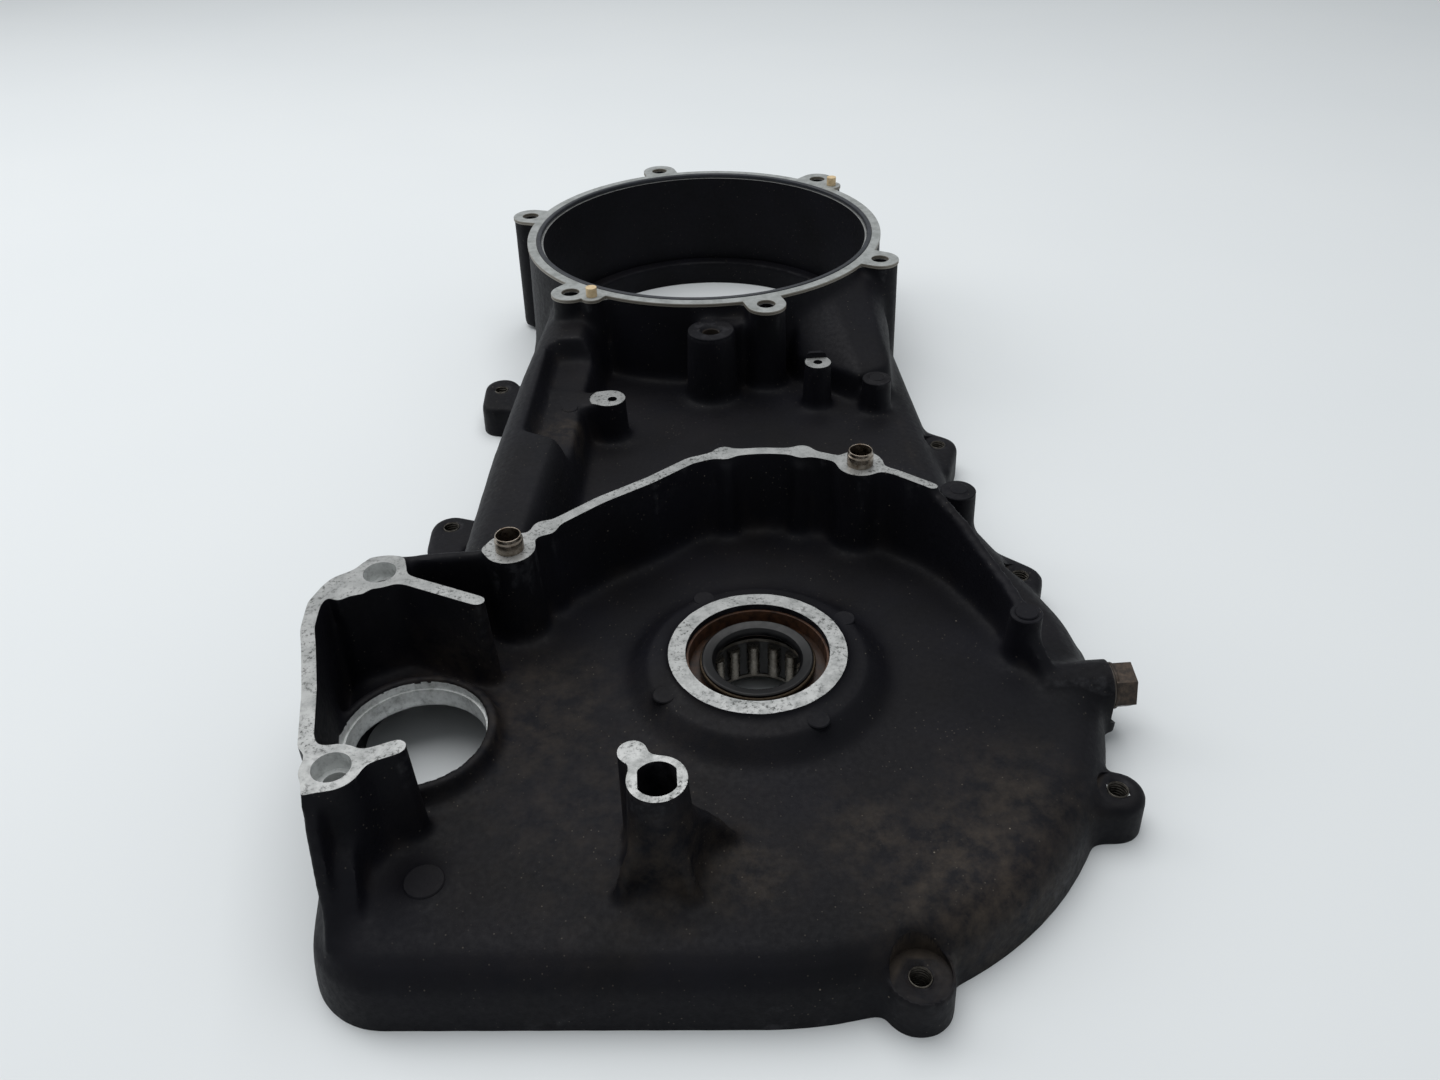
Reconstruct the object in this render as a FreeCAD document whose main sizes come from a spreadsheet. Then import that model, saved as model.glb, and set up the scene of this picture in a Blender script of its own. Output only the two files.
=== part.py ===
import FreeCAD, Part
import math
import os

V = FreeCAD.Vector
doc = FreeCAD.newDocument("inner_primary_cover")

# Driving dimensions, in millimetres
SIZES = [
    ("flange_height", 70.0, "engine flange above the outer sealing face"),
    ("pad_height", 66.0, "machined strips and pads above the sealing face"),
    ("web_height", 26.0, "engine side of the web above the sealing face"),
    ("web_thickness", 5.5, "thickness of the web"),
    ("rim_width", 10.0, "width of the outer sealing face"),
    ("edge_round", 15.0, "rounded shoulder of the base"),
    ("crank_bore_radius", 94.9, "bore around the rotor"),
    ("crank_wall", 8.6, "wall of the crank ring"),
    ("ledge_height", 15.0, "ledge in the crank bore above the sealing face"),
    ("ledge_width", 7.0, "width of that ledge"),
    ("ear_circle_radius", 110.5, "circle of the ears of the engine flange"),
    ("ear_radius", 10.0, "ears of the engine flange"),
    ("ear_hole_radius", 4.4, "screw holes in the ears"),
    ("ear_hole_depth", 30.0, "depth of those holes"),
    ("pin_circle_radius", 108.0, "circle of the gasket pins"),
    ("pin_radius", 1.9, "gasket pin"),
    ("pin_depth", 4.0, "gasket pin inside the casting"),
    ("pin_stand", 5.0, "gasket pin above the gasket"),
    ("pin_head_radius", 2.9, "head of the gasket pin"),
    ("gasket_thickness", 2.0, "crankcase gasket plate"),
    ("bead_step", 1.1, "land between the crank bore and the rubber bead"),
    ("bead_width", 2.8, "rubber bead of the gasket"),
    ("bead_height", 2.5, "rubber bead of the gasket"),
    ("shaft_distance", 337.0, "crank axis to mainshaft axis"),
    ("chamber_radius", 132.0, "outside of the clutch chamber"),
    ("housing_bottom", 4.0, "lower end of the bearing housing above the sealing face"),
    ("clip_land", 1.9, "housing below the groove of the retaining ring"),
    ("clip_section", 1.6, "bearing retaining ring, height and depth in its groove"),
    ("bearing_length", 20.0, "outer ring of the bearing"),
    ("shoulder", 1.0, "shoulder between bearing and oil seal"),
    ("seal_depth", 7.0, "oil seal width"),
    ("seal_recess", 2.5, "oil seal below the hub ring"),
    ("roller_circle_radius", 18.45, "circle of the roller axes"),
    ("roller_radius", 2.5, "roller"),
    ("running_gap", 0.05, "clearance of the rollers in race and cage"),
    ("race_wall", 2.8, "wall of the outer ring of the bearing"),
    ("seal_step", 3.3, "seal bore beyond the bearing bore"),
    ("hub_wall", 6.1, "machined hub ring round the seal"),
    ("hub_foot_radius", 52.0, "foot of the cone round the hub"),
    ("roller_length", 14.0, "roller"),
    ("roller_count", 14.0, "number of rollers"),
    ("race_lip", 1.4, "lips at both ends of the outer ring"),
    ("race_lip_reach", 2.4, "reach of those lips"),
    ("cage_end", 1.2, "rings at both ends of the cage"),
    ("cage_gap", 0.4, "cage inside the track of the outer ring"),
    ("case_wall", 1.1, "pressed case of the oil seal"),
    ("lip_wall", 5.25, "collar of the seal lip round the shaft"),
    ("spring_radius", 0.9, "section of the garter spring"),
    ("fit_gap", 0.03, "clearance of pieces seated in the casting"),
    ("starter_bore_radius", 25.7, "starter nose bore"),
    ("starter_step_radius", 24.8, "lower part of the starter bore"),
    ("starter_step_depth", 4.5, "depth of the upper part"),
    ("starter_rim_height", 34.0, "starter bore rim above the sealing face"),
    ("dowel_radius", 5.5, "dowel sleeve outside"),
    ("dowel_bore_radius", 4.5, "dowel sleeve inside"),
    ("dowel_stand", 6.5, "dowel sleeve above its pad"),
    ("dowel_depth", 8.0, "dowel sleeve inside its pad"),
    ("dowel_nose", 2.0, "narrowed end of the dowel sleeve"),
    ("pad_radius", 9.8, "round pads"),
    ("pad_hole_radius", 4.3, "bolt holes in the pads"),
    ("counterbore_radius", 6.2, "counterbores in two pads"),
    ("counterbore_depth", 7.0, "counterbores in two pads"),
    ("strip_width", 4.8, "machined sealing strip"),
    ("corner_hole_depth", 40.0, "bolt holes in the two counterbored pads"),
    ("lug_height", 17.0, "screw lugs above the sealing face"),
    ("low_lug_height", 14.5, "near screw lug, spotfaced deeper"),
    ("lug_radius", 10.4, "screw lugs"),
    ("low_lug_radius", 11.5, "near screw lug"),
    ("lug_hole_radius", 3.2, "threaded holes in the lugs"),
    ("drain_height", 20.5, "drain plug axis above the sealing face"),
    ("drain_y", -350.0, "drain plug axis along the cover"),
    ("drain_face_x", 131.2, "face of the drain boss"),
    ("drain_boss_radius", 10.2, "drain boss"),
    ("drain_thread_radius", 6.0, "drain plug shank"),
    ("drain_shank", 14.0, "drain plug shank length inside the boss"),
    ("drain_head_flats", 16.0, "drain plug across flats"),
    ("drain_head_height", 8.0, "drain plug head"),
    ("drain_collar", 0.9, "collar of the plug beyond half the flats"),
    ("drain_ring_thickness", 1.2, "drain plug sealing ring"),
]

sheet = doc.addObject("Spreadsheet::Sheet", "Sizes")
for row, (name, value, note) in enumerate(SIZES, start=1):
    sheet.set("A%d" % row, name)
    sheet.set("B%d" % row, "%g" % value)
    sheet.set("C%d" % row, note)
    sheet.setAlias("B%d" % row, name)
doc.recompute()


def size(name):
    return float(sheet.get(name))


# Two rows of sizes that add up: heights through the hub, radii out from the shaft
HUB_HEIGHTS = ["housing_bottom", "clip_land", "clip_section", "bearing_length", "shoulder", "seal_depth",
               "seal_recess"]
HUB_RADII = ["roller_circle_radius", "roller_radius", "running_gap", "race_wall", "seal_step", "hub_wall"]


def total(row, last):
    return sum(size(name) for name in row[:row.index(last) + 1])


def total_text(row, last):
    return " + ".join("Sizes." + name for name in row[:row.index(last) + 1])


FLANGE = size("flange_height")
PAD = size("pad_height")
WEB = size("web_height")
WEB_UNDER = WEB - size("web_thickness")
SHAFT_Y = -size("shaft_distance")
RING_R = size("crank_bore_radius") + size("crank_wall")
BEARING_LOW = total(HUB_HEIGHTS, "clip_section")
BEARING_TOP = total(HUB_HEIGHTS, "bearing_length")
SEAL_LOW = total(HUB_HEIGHTS, "shoulder")
HUB = total(HUB_HEIGHTS, "seal_recess")
BEARING_R = total(HUB_RADII, "race_wall")
SEAL_R = total(HUB_RADII, "seal_step")
HUB_R = total(HUB_RADII, "hub_wall")
FIT = size("fit_gap")
PAST = 1.0


def up(height):
    """Height above the outer sealing face to z of the document."""
    return height - FLANGE


# Outlines: closed polygons, counter-clockwise, each corner with its own radius
def loop(corners, height):
    count = len(corners)
    ends = []
    for i, (x, y, radius) in enumerate(corners):
        here = V(x, y, up(height))
        before = V(corners[i - 1][0], corners[i - 1][1], up(height)) - here
        after = V(corners[(i + 1) % count][0], corners[(i + 1) % count][1], up(height)) - here
        before.normalize()
        after.normalize()
        half = before.getAngle(after) / 2
        middle = before + after
        middle.normalize()
        reach = radius / math.tan(half)
        crown = here + middle * (radius / math.sin(half) - radius)
        ends.append((here + before * reach, crown, here + after * reach))
    edges = []
    for i, (start, crown, end) in enumerate(ends):
        previous = ends[i - 1][2]
        if previous.distanceToPoint(start) > 1e-4:
            edges.append(Part.makeLine(previous, start))
        edges.append(Part.Arc(start, crown, end).toShape())
    return Part.Wire(edges)


def inset(corners, distance):
    """The same outline moved inwards by distance, with as many corners."""
    count = len(corners)
    moved = []
    for i, (x, y, radius) in enumerate(corners):
        x0, y0, _ = corners[i - 1]
        x1, y1, _ = corners[(i + 1) % count]
        ax, ay = x - x0, y - y0
        bx, by = x1 - x, y1 - y
        la, lb = math.hypot(ax, ay), math.hypot(bx, by)
        na = (-ay / la, ax / la)
        nb = (-by / lb, bx / lb)
        bend = 1 + na[0] * nb[0] + na[1] * nb[1]
        turn = ax * by - ay * bx
        new_radius = radius - distance if turn > 0 else radius + distance
        moved.append((x + distance * (na[0] + nb[0]) / bend,
                      y + distance * (na[1] + nb[1]) / bend,
                      max(new_radius, 0.4)))
    return moved


def loft(sections):
    """Ruled solid through (outline, height) pairs."""
    return Part.makeLoft([loop(corners, height) for corners, height in sections], True, True)


def slab(corners, low, high, draft=0.0):
    return loft([(corners, low), (inset(corners, draft), high)])


def domed(corners, low, high, rounding, draft=0.0, steps=4):
    """Slab whose top edge is rounded off in steps."""
    sections = [(corners, low)]
    for k in range(steps + 1):
        turn = math.radians(90.0 * k / steps)
        sections.append((inset(corners, draft + rounding * (1 - math.cos(turn))),
                         high - rounding + rounding * math.sin(turn)))
    return loft(sections)


def post(x, y, radius, low, high, foot=0.0):
    """Round boss; foot is how much wider it is at its lower end."""
    base = V(x, y, up(low))
    if foot:
        return Part.makeCone(radius + foot, radius, high - low, base)
    return Part.makeCylinder(radius, high - low, base)


def capsule(a, b, radius, low, high, foot=0.0):
    """Straight wall with round ends between two plan points."""
    ax, ay = a
    bx, by = b
    length = math.hypot(bx - ax, by - ay)
    tx, ty = (bx - ax) / length, (by - ay) / length

    def section(r, height):
        z = up(height)
        a1, a2 = V(ax + ty * r, ay - tx * r, z), V(ax - ty * r, ay + tx * r, z)
        b1, b2 = V(bx + ty * r, by - tx * r, z), V(bx - ty * r, by + tx * r, z)
        tip_a = V(ax - tx * r, ay - ty * r, z)
        tip_b = V(bx + tx * r, by + ty * r, z)
        return Part.Wire([Part.makeLine(a1, b1), Part.Arc(b1, tip_b, b2).toShape(),
                          Part.makeLine(b2, a2), Part.Arc(a2, tip_a, a1).toShape()])

    return Part.makeLoft([section(radius + foot, low), section(radius, high)], True, True)


def wall(points, width, low, high, foot=0.0):
    """Wall along a chain of plan points, one capsule for each stretch."""
    return [capsule(points[i], points[i + 1], width / 2, low, high, foot)
            for i in range(len(points) - 1)]


def ramp(a, b, thickness, low, high_a, high_b):
    """Upright wall between two plan points whose top slopes, with a round post at its second end."""
    along = V(b[0] - a[0], b[1] - a[1], 0)
    side = V(-along.y, along.x, 0)
    side.normalize()
    start = V(a[0], a[1], 0) - side * (thickness / 2)
    end = start + along
    profile = [start + V(0, 0, up(low)), end + V(0, 0, up(low)),
               end + V(0, 0, up(high_b)), start + V(0, 0, up(high_a))]
    face = Part.Face(Part.makePolygon(profile + profile[:1]))
    return [face.extrude(side * thickness), post(b[0], b[1], thickness / 2, low, high_b)]


def on_circle(radius, degrees, centre_y=0.0):
    turn = math.radians(degrees)
    return radius * math.cos(turn), centre_y + radius * math.sin(turn)


# Plan positions read off the photograph, in the cover's own frame
CHAMBER = size("chamber_radius")
NEAR_SLOPE = 0.079
NEAR_Y = SHAFT_Y - CHAMBER * (1 + NEAR_SLOPE) + 1.0
BASE_R = RING_R + 3.4
BASE = [
    (CHAMBER, NEAR_Y, CHAMBER - 0.6),
    (CHAMBER, SHAFT_Y + 25, 60),
    (107.5, SHAFT_Y + 108, 45),
    (BASE_R, SHAFT_Y + 232, 50),
    (BASE_R, BASE_R, BASE_R - 0.2),
    (-BASE_R, BASE_R, BASE_R - 0.2),
    (-BASE_R, -72, 60),
    (-118, SHAFT_Y + 84, 45),
    (-137, SHAFT_Y + 43, 18),
    (-163.5, SHAFT_Y + 20, 26),
    (-149.5, NEAR_Y + (CHAMBER + 149.5) * NEAR_SLOPE, 28),
]
LEDGE_R = size("crank_bore_radius") - size("ledge_width")
RIM = size("rim_width")
CAVITY = [
    (CHAMBER - RIM, NEAR_Y + RIM * (1 + NEAR_SLOPE), CHAMBER - RIM - 2),
    (CHAMBER - RIM, SHAFT_Y + 24, 50),
    (97, SHAFT_Y + 106, 45),
    (LEDGE_R, SHAFT_Y + 232, 50),
    (LEDGE_R, LEDGE_R, LEDGE_R - 0.2),
    (-LEDGE_R, LEDGE_R, LEDGE_R - 0.2),
    (-LEDGE_R, -72, 60),
    (-107, SHAFT_Y + 80, 45),
    (-131, SHAFT_Y + 30, 18),
    (-154.5, SHAFT_Y + 12, 20),
    (-143.5, NEAR_Y + RIM + (CHAMBER + 143.5) * NEAR_SLOPE, 18),
]

EAR_ANGLES = [161.0, 102.3, 45.0, -30.6, -76.2, -133.4]
PIN_ANGLES = [-126.6, 37.6]
EARS = [on_circle(size("ear_circle_radius"), angle) for angle in EAR_ANGLES]
EAR_NECKS = [on_circle(RING_R - 6, angle) for angle in EAR_ANGLES]
PINS = [on_circle(size("pin_circle_radius"), angle) for angle in PIN_ANGLES]
PIN_NECKS = [on_circle(RING_R - 6, angle) for angle in PIN_ANGLES]
PIN_LOBE_R = 5.5

PAD_A = (-91.6, -301.1)
PAD_B = (51.0, -255.3)
PAD_C = (-139.2, -311.5)
PAD_D = (-137.6, -409.4)
STRIP = [PAD_A, (-78.9, -288.9), (-57.7, -271.8), (-37.2, -259.1), (-20.0, -245.9),
         (-5.0, -241.2), (11.0, -241.0), (28.0, -243.5), PAD_B]
THIN_STRIP = [PAD_B, (64.5, -263.7), (77.5, -275.6)]
LOBES = [(-78.9, -288.9), (-5.0, -241.2), (28.0, -243.5)]
BRANCH_END = (-100.5, -332.3)
FINGER_END = (-118.8, -402.6)
NOOK = [PAD_C, (-151.0, -313.5), (-156.8, -318.5), (-160.0, -327.5), (-159.4, -342.0), (-156.8, -352.0),
        (-151.8, -374.0), (-147.6, -399.0), PAD_D]
NOOK_LOBES = [(-151.6, -323.6), (-145.0, -321.2)]
TALL_BOSS = (-38.2, -423.0)
TALL_LOBE = (-45.6, -411.0)
TALL_RIB_FEET = [(-55.0, -438.0), (-27.5, -441.0), (-12.0, -414.0)]
STARTER = (-124.9, -362.8)
RIGHT_WALL = [((77.5, -275.6), 65.5), ((86.5, -290.0), 59.0), ((93.5, -306.0), 52.5), ((98.5, -321.0), 49.5),
              ((101.1, -336.8), 48.0)]
RIB_END = (111.0, -357.0)
MID_BOSS = (-3.3, -117.6)
STUB_BOSS = (50.1, -134.7)
PLAIN_BOSS = (79.6, -142.1)
EAR_BOSS = (-56.5, -155.2)
EAR_BOSS_HOLE = (-54.9, -156.2)
POCKET_DISC = (-75.7, -162.3)
SIDE_BOSS = (99.0, -240.0)
RAISED_DISC = (-113.9, -424.5)
LOW_LUG = (37.5, -462.0)
RIGHT_LUGS = [(108.3, -165.4), (119.9, -275.4), (120.3, -397.3)]
LEFT_LUGS = [(-119.7, -82.0), (-132.0, -213.5)]
FAR_LUGS = [on_circle(BASE_R + 3, 58), on_circle(BASE_R + 3, 126)]
LUG_FEET = [(RIGHT_LUGS[0], (101.0, -184.0)), (RIGHT_LUGS[0], (97.0, -156.0)),
            (RIGHT_LUGS[1], (112.0, -292.0)), (RIGHT_LUGS[1], (107.0, -262.0)),
            (RIGHT_LUGS[2], (104.0, -396.0)), ((-119.7, -78.0), (-119.7, -95.0)),
            ((-119.7, -86.0), (-100.0, -88.0)), ((-118.7, -94.0), (-104.0, -99.0)),
            (LEFT_LUGS[1], (-132.0, -228.0)),
            (LEFT_LUGS[1], (-112.0, -222.0))]

# Outside of the casting: base, crank ring and its ears
outer = [domed(BASE, 0, WEB, size("edge_round"), 1.5)]
outer.append(post(0, 0, RING_R, 2, FLANGE, 2.5))
for (x, y), neck in zip(EARS, EAR_NECKS):
    outer.append(post(x, y, size("ear_radius"), 2, FLANGE, 1.5))
    outer.append(capsule(neck, (x, y), size("ear_radius") - 0.8, 2, FLANGE, 1.5))
for pin, neck in zip(PINS, PIN_NECKS):
    outer.append(capsule(neck, pin, PIN_LOBE_R, 14, FLANGE, 2.0))

# Long ridge beside the middle floor: edge points at its foot (x, y, share of the draw-in, corner radius),
# then height, left and right draw-in
RIDGE_LEFT = [(-92.5, -46.0, 1.0, 4), (-104.5, -135.0, 1.0, 12), (-112.5, -210.0, 1.0, 12),
              (-118.0, -300.0, 0.7, 3)]
RIDGE_RIGHT = [(-84.0, -304.0, 0.7, 3), (-69.5, -215.0, 1.0, 12), (-64.5, -150.0, 1.0, 12),
               (-56.5, -80.0, 1.0, 4)]
RIDGE_STEPS = [(16, 0, 0), (42, 2.0, 4.0), (50, 4.0, 6.0), (55, 8.0, 8.0), (58, 13.0, 10.0),
               (59.5, 18.0, 12.0)]

# Open pocket in the ridge, with a raised disc on its floor
POCKET = [(-84.4, -113, 3), (-91.2, -198, 3), (-76, -207, 3), (-70, -218, 3), (-50, -218, 3), (-44, -113, 3)]
POCKET_FLOOR = 47.0
POCKET_FLARE = 6.0


def ridge_outline(left, right):
    corners = [(x + left * share, y, radius) for x, y, share, radius in RIDGE_LEFT]
    corners += [(x - right * share, y, radius) for x, y, share, radius in RIDGE_RIGHT]
    return corners


ridge = loft([(ridge_outline(left, right), height) for height, left, right in RIDGE_STEPS])
outer.append(ridge.cut(slab(POCKET, POCKET_FLOOR, PAD, -POCKET_FLARE)))
outer.append(post(POCKET_DISC[0], POCKET_DISC[1], 4.0, POCKET_FLOOR - 3, POCKET_FLOOR + 0.8))

# Machined strips, pads and their walls
ROOT = WEB - 3
DEEP = 4
PILASTER_STEP = 3.0
outer += wall(STRIP, size("strip_width"), ROOT, PAD, 0.8)
outer += wall(THIN_STRIP, size("strip_width") - 1.0, ROOT, PAD, 1.2)
for x, y in LOBES:
    outer.append(post(x, y, 5.0, ROOT, PAD, 1.0))
for x, y in LOBES[1:]:
    reach = math.hypot(x, SHAFT_Y - y)
    toward_hub = (x - x / reach * PILASTER_STEP, y + (SHAFT_Y - y) / reach * PILASTER_STEP)
    outer.append(capsule((x, y), toward_hub, 4.0, ROOT, PAD - 3, 1.0))
for x, y in (PAD_A, PAD_B, PAD_C):
    outer.append(post(x, y, size("pad_radius"), ROOT, PAD, 1.2))
outer.append(post(PAD_D[0], PAD_D[1], size("pad_radius"), DEEP, PAD, 0.8))
outer += wall(NOOK, 4.8, DEEP, PAD, 1.2)
outer.append(capsule(PAD_C, (-151.5, -318.5), 7.0, ROOT, PAD, 1.0))
for x, y in NOOK_LOBES:
    outer.append(post(x, y, 3.4, ROOT, PAD, 1.0))
outer += wall([PAD_C, BRANCH_END], 5.0, ROOT, PAD, 1.6)
outer += wall([PAD_D, FINGER_END], 6.2, ROOT, PAD, 1.4)
outer += wall([(-143.5, -303.0), (-120.0, -301.5), PAD_A], 4.4, DEEP, PAD - 0.8, 1.5)

# Buttress that runs down from the corner pad to the near corner: a thin crest on a broader, lower foot
BUTTRESS_Y = -404.0
BUTTRESS_LEAN = 0.115
BUTTRESS_LEFT = -146.6
BUTTRESS = [(BUTTRESS_Y, 1.0), (-418.5, 1.0), (-427.0, 0.8), (-431.5, 0.5), (-436.0, 0.18), (-444.0, -0.1)]
for right_x, rise in ((-142.0, PAD - WEB), (-135.0, 18.0)):
    profile = [(BUTTRESS_Y, DEEP + 4)]
    profile += [(y, WEB + rise * share) for y, share in BUTTRESS]
    profile.append((-448.0, DEEP + 4))
    buttress_ends = []
    for face_x in (BUTTRESS_LEFT, right_x):
        points = [V(face_x - (y - BUTTRESS_Y) * BUTTRESS_LEAN, y, up(height)) for y, height in profile]
        buttress_ends.append(Part.makePolygon(points + points[:1]))
    outer.append(Part.makeLoft(buttress_ends, True, True))

# Right wall of the bowl, lower towards its boss, then a rib down to the web
for (a, high_a), (b, high_b) in zip(RIGHT_WALL[:-1], RIGHT_WALL[1:]):
    outer += ramp(a, b, 5.0, WEB - 8, high_a, high_b)
wall_end, wall_top = RIGHT_WALL[-1]
outer.append(post(wall_end[0], wall_end[1], 6.2, WEB - 8, wall_top, 1.0))
outer += ramp(wall_end, RIB_END, 6.0, WEB - 12, wall_top - 1.5, WEB - 2)

# Hub ring on its cone, with four small discs
CONE_TOP_R = HUB_R + 8
outer.append(post(0, SHAFT_Y, CONE_TOP_R, WEB - 1, HUB - 3, size("hub_foot_radius") - CONE_TOP_R))
outer.append(post(0, SHAFT_Y, HUB_R, WEB - 1, HUB))
for k in range(4):
    x, y = on_circle(HUB_R + 6.8, 27 + 90 * k, SHAFT_Y)
    outer.append(post(x, y, 4.3, WEB, HUB - 2.2))

# Tall boss with its lobe and three flared ribs
TALL_RIB = 4.6
outer.append(post(TALL_BOSS[0], TALL_BOSS[1], 9.4, WEB - 8, PAD, 3.0))
outer.append(post(TALL_BOSS[0], TALL_BOSS[1], 9.8, WEB - 1, WEB + 18, 4.0))
outer.append(post(TALL_LOBE[0], TALL_LOBE[1], 4.9, WEB - 8, PAD - 0.4, 0.8))
outer.append(capsule(TALL_BOSS, TALL_LOBE, 3.6, WEB - 8, PAD - 0.4, 0.8))
for foot_x, foot_y in TALL_RIB_FEET:
    bend_x = TALL_BOSS[0] + (foot_x - TALL_BOSS[0]) * 0.72
    bend_y = TALL_BOSS[1] + (foot_y - TALL_BOSS[1]) * 0.72
    spine = [V(TALL_BOSS[0], TALL_BOSS[1], up(PAD - 4)), V(TALL_BOSS[0], TALL_BOSS[1], up(WEB - 8)),
             V(foot_x, foot_y, up(WEB - 8)), V(foot_x, foot_y, up(WEB - 2)), V(bend_x, bend_y, up(WEB + 12))]
    across = V(TALL_BOSS[1] - foot_y, foot_x - TALL_BOSS[0], 0)
    across.normalize()
    rib = Part.Face(Part.makePolygon(spine + spine[:1])).extrude(across * TALL_RIB)
    rib.translate(across * (-TALL_RIB / 2))
    outer.append(rib)

# Starter bore rim, bosses, plate and wedge beside the crank ring
outer.append(post(STARTER[0], STARTER[1], size("starter_bore_radius") + 3.4, WEB_UNDER,
                  size("starter_rim_height"), 3.0))
MID_TOP = FLANGE - 6
outer.append(post(MID_BOSS[0], MID_BOSS[1], 12.2, ROOT, MID_TOP, 1.6))
outer.append(capsule(MID_BOSS, (0.0, -100.0), 8.0, ROOT, MID_TOP - 2, 1.0))
outer.append(capsule((8.0, -109.0), (16.0, -102.0), 4.5, ROOT, MID_TOP - 1, 1.0))
outer.append(post(STUB_BOSS[0], STUB_BOSS[1], 6.7, ROOT, 51, 1.4))
outer.append(capsule((46.5, -128.3), (53.0, -128.3), 1.6, ROOT, 54))
outer.append(post(PLAIN_BOSS[0], PLAIN_BOSS[1], 7.4, DEEP + 2, 44, 1.4))
outer.append(post(PLAIN_BOSS[0], PLAIN_BOSS[1], 4.2, DEEP + 2, 44.8))
outer.append(post(EAR_BOSS[0], EAR_BOSS[1], 8.0, ROOT, 48, 1.2))
outer.append(slab([(-86, -142, 2), (-86, -161, 2), (-58, -162, 2), (-58, -147, 2)], ROOT, 47.6, 0.8))
WEDGE_LOW = [(33, -84, 3), (42, -111, 3), (73, -140, 3), (94, -133, 8), (101, -78, 8), (93, -50, 3)]
WEDGE_MIDDLE = [(35, -84, 3), (43.5, -108, 3), (72, -133, 3), (90, -124, 8), (98, -76, 8), (91, -50, 3)]
WEDGE_TOP = [(40, -84, 3), (46, -90, 3), (64, -82, 6), (84, -68, 8), (93, -59, 3), (87, -48, 3)]
outer.append(loft([(WEDGE_LOW, 10), (WEDGE_MIDDLE, 41), (WEDGE_TOP, FLANGE - 5)]))
outer.append(post(SIDE_BOSS[0], SIDE_BOSS[1], 8.0, DEEP, 39, 1.2))
outer.append(post(SIDE_BOSS[0], SIDE_BOSS[1], 4.2, DEEP, 39.8))
outer.append(post(RAISED_DISC[0], RAISED_DISC[1], 6.6, WEB - 2, WEB + 2.2))

# Screw lugs, and the drain boss with its skirt
LUG_EDGE = 2.0


def lug(a, b, radius, top):
    return [capsule(a, b, radius - 0.6, 0, top - LUG_EDGE, 0.6),
            capsule(a, b, radius - LUG_EDGE, 0, top, 0.6)]


for x, y in FAR_LUGS:
    outer += lug((x, y), (x * 0.9, y * 0.9), size("lug_radius"), size("lug_height"))
for a, b in LUG_FEET:
    outer += lug(a, b, size("lug_radius"), size("lug_height"))
outer += lug(LOW_LUG, (36.5, -448.0), size("low_lug_radius"), size("low_lug_height") + 4)
DRAIN_BOSS_LENGTH = 26.0
DRAIN_R = size("drain_boss_radius")
drain_start = V(size("drain_face_x") - DRAIN_BOSS_LENGTH, size("drain_y"), up(size("drain_height")))
outer.append(Part.makeCylinder(DRAIN_R, DRAIN_BOSS_LENGTH, drain_start, V(1, 0, 0)))
outer.append(Part.makeBox(DRAIN_BOSS_LENGTH, 2 * DRAIN_R, size("drain_height") - DEEP,
                          V(drain_start.x, drain_start.y - DRAIN_R, up(DEEP))))
outside = outer[0].multiFuse(outer[1:])

LUGS = [(place, size("lug_height"), 7.6) for place in RIGHT_LUGS]
LUGS += [(place, size("lug_height"), 6.0) for place in LEFT_LUGS + FAR_LUGS]
LUGS.append((LOW_LUG, size("low_lug_height"), 9.6))

# Hollow of the chain side, clear of the screw lugs; the ridge is hollow too, clear of the flange screws
hollow = slab(CAVITY, -PAST, WEB_UNDER, 1.2)
for (x, y), seat, spotface in LUGS:
    hollow = hollow.cut(post(x, y, spotface + 3.0, -2 * PAST, WEB))
flange_zone = post(0, 0, size("ear_circle_radius") + size("ear_radius") + 2, 0, PAD)
ridge_hollow = slab(inset(ridge_outline(0, 0), 7.0), WEB_UNDER - 4, POCKET_FLOOR - 6.0, 2.0).cut(flange_zone)
hollowed = outside.cut(hollow).cut(ridge_hollow)

# Forms that stand in that hollow: bearing housing with its ribs, columns under the bolt holes
HOUSING_R = BEARING_R + 7.0
inner = [post(0, SHAFT_Y, HOUSING_R, size("housing_bottom"), WEB)]
for k in range(6):
    near = on_circle(HOUSING_R - 3, 20 + 60 * k, SHAFT_Y)
    far = on_circle(HOUSING_R + 13, 20 + 60 * k, SHAFT_Y)
    inner.append(capsule(near, far, 2.2, WEB_UNDER - 6, WEB - 1))
for x, y in (PAD_A, PAD_B, TALL_BOSS):
    inner.append(post(x, y, 9.0, 10, WEB))
body = hollowed.multiFuse(inner)

# Machining
cuts = [post(0, 0, size("crank_bore_radius"), size("ledge_height"), FLANGE + PAST)]
for x, y in EARS:
    cuts.append(post(x, y, size("ear_hole_radius"), FLANGE - size("ear_hole_depth"), FLANGE + PAST))
for x, y in PINS:
    cuts.append(post(x, y, size("pin_radius") + FIT, FLANGE - size("pin_depth"), FLANGE + PAST))
for x, y in (PAD_A, PAD_B):
    cuts.append(post(x, y, size("pad_hole_radius"), -PAST, PAD + PAST))
    cuts.append(post(x, y, size("dowel_radius") + FIT, PAD - size("dowel_depth"), PAD + PAST))
for x, y in (PAD_C, PAD_D):
    cuts.append(post(x, y, size("pad_hole_radius"), PAD - size("corner_hole_depth"), PAD + PAST))
    cuts.append(post(x, y, size("counterbore_radius"), PAD - size("counterbore_depth"), PAD + PAST))
FLATS = 12.0
flats_box = Part.makeBox(FLATS, 40, PAD + 20, V(TALL_BOSS[0] - FLATS / 2, TALL_BOSS[1] - 20, up(-2 * PAST)))
cuts.append(post(TALL_BOSS[0], TALL_BOSS[1], 7.0, -PAST, PAD + PAST).common(flats_box))
STEP = size("starter_rim_height") - size("starter_step_depth")
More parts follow.
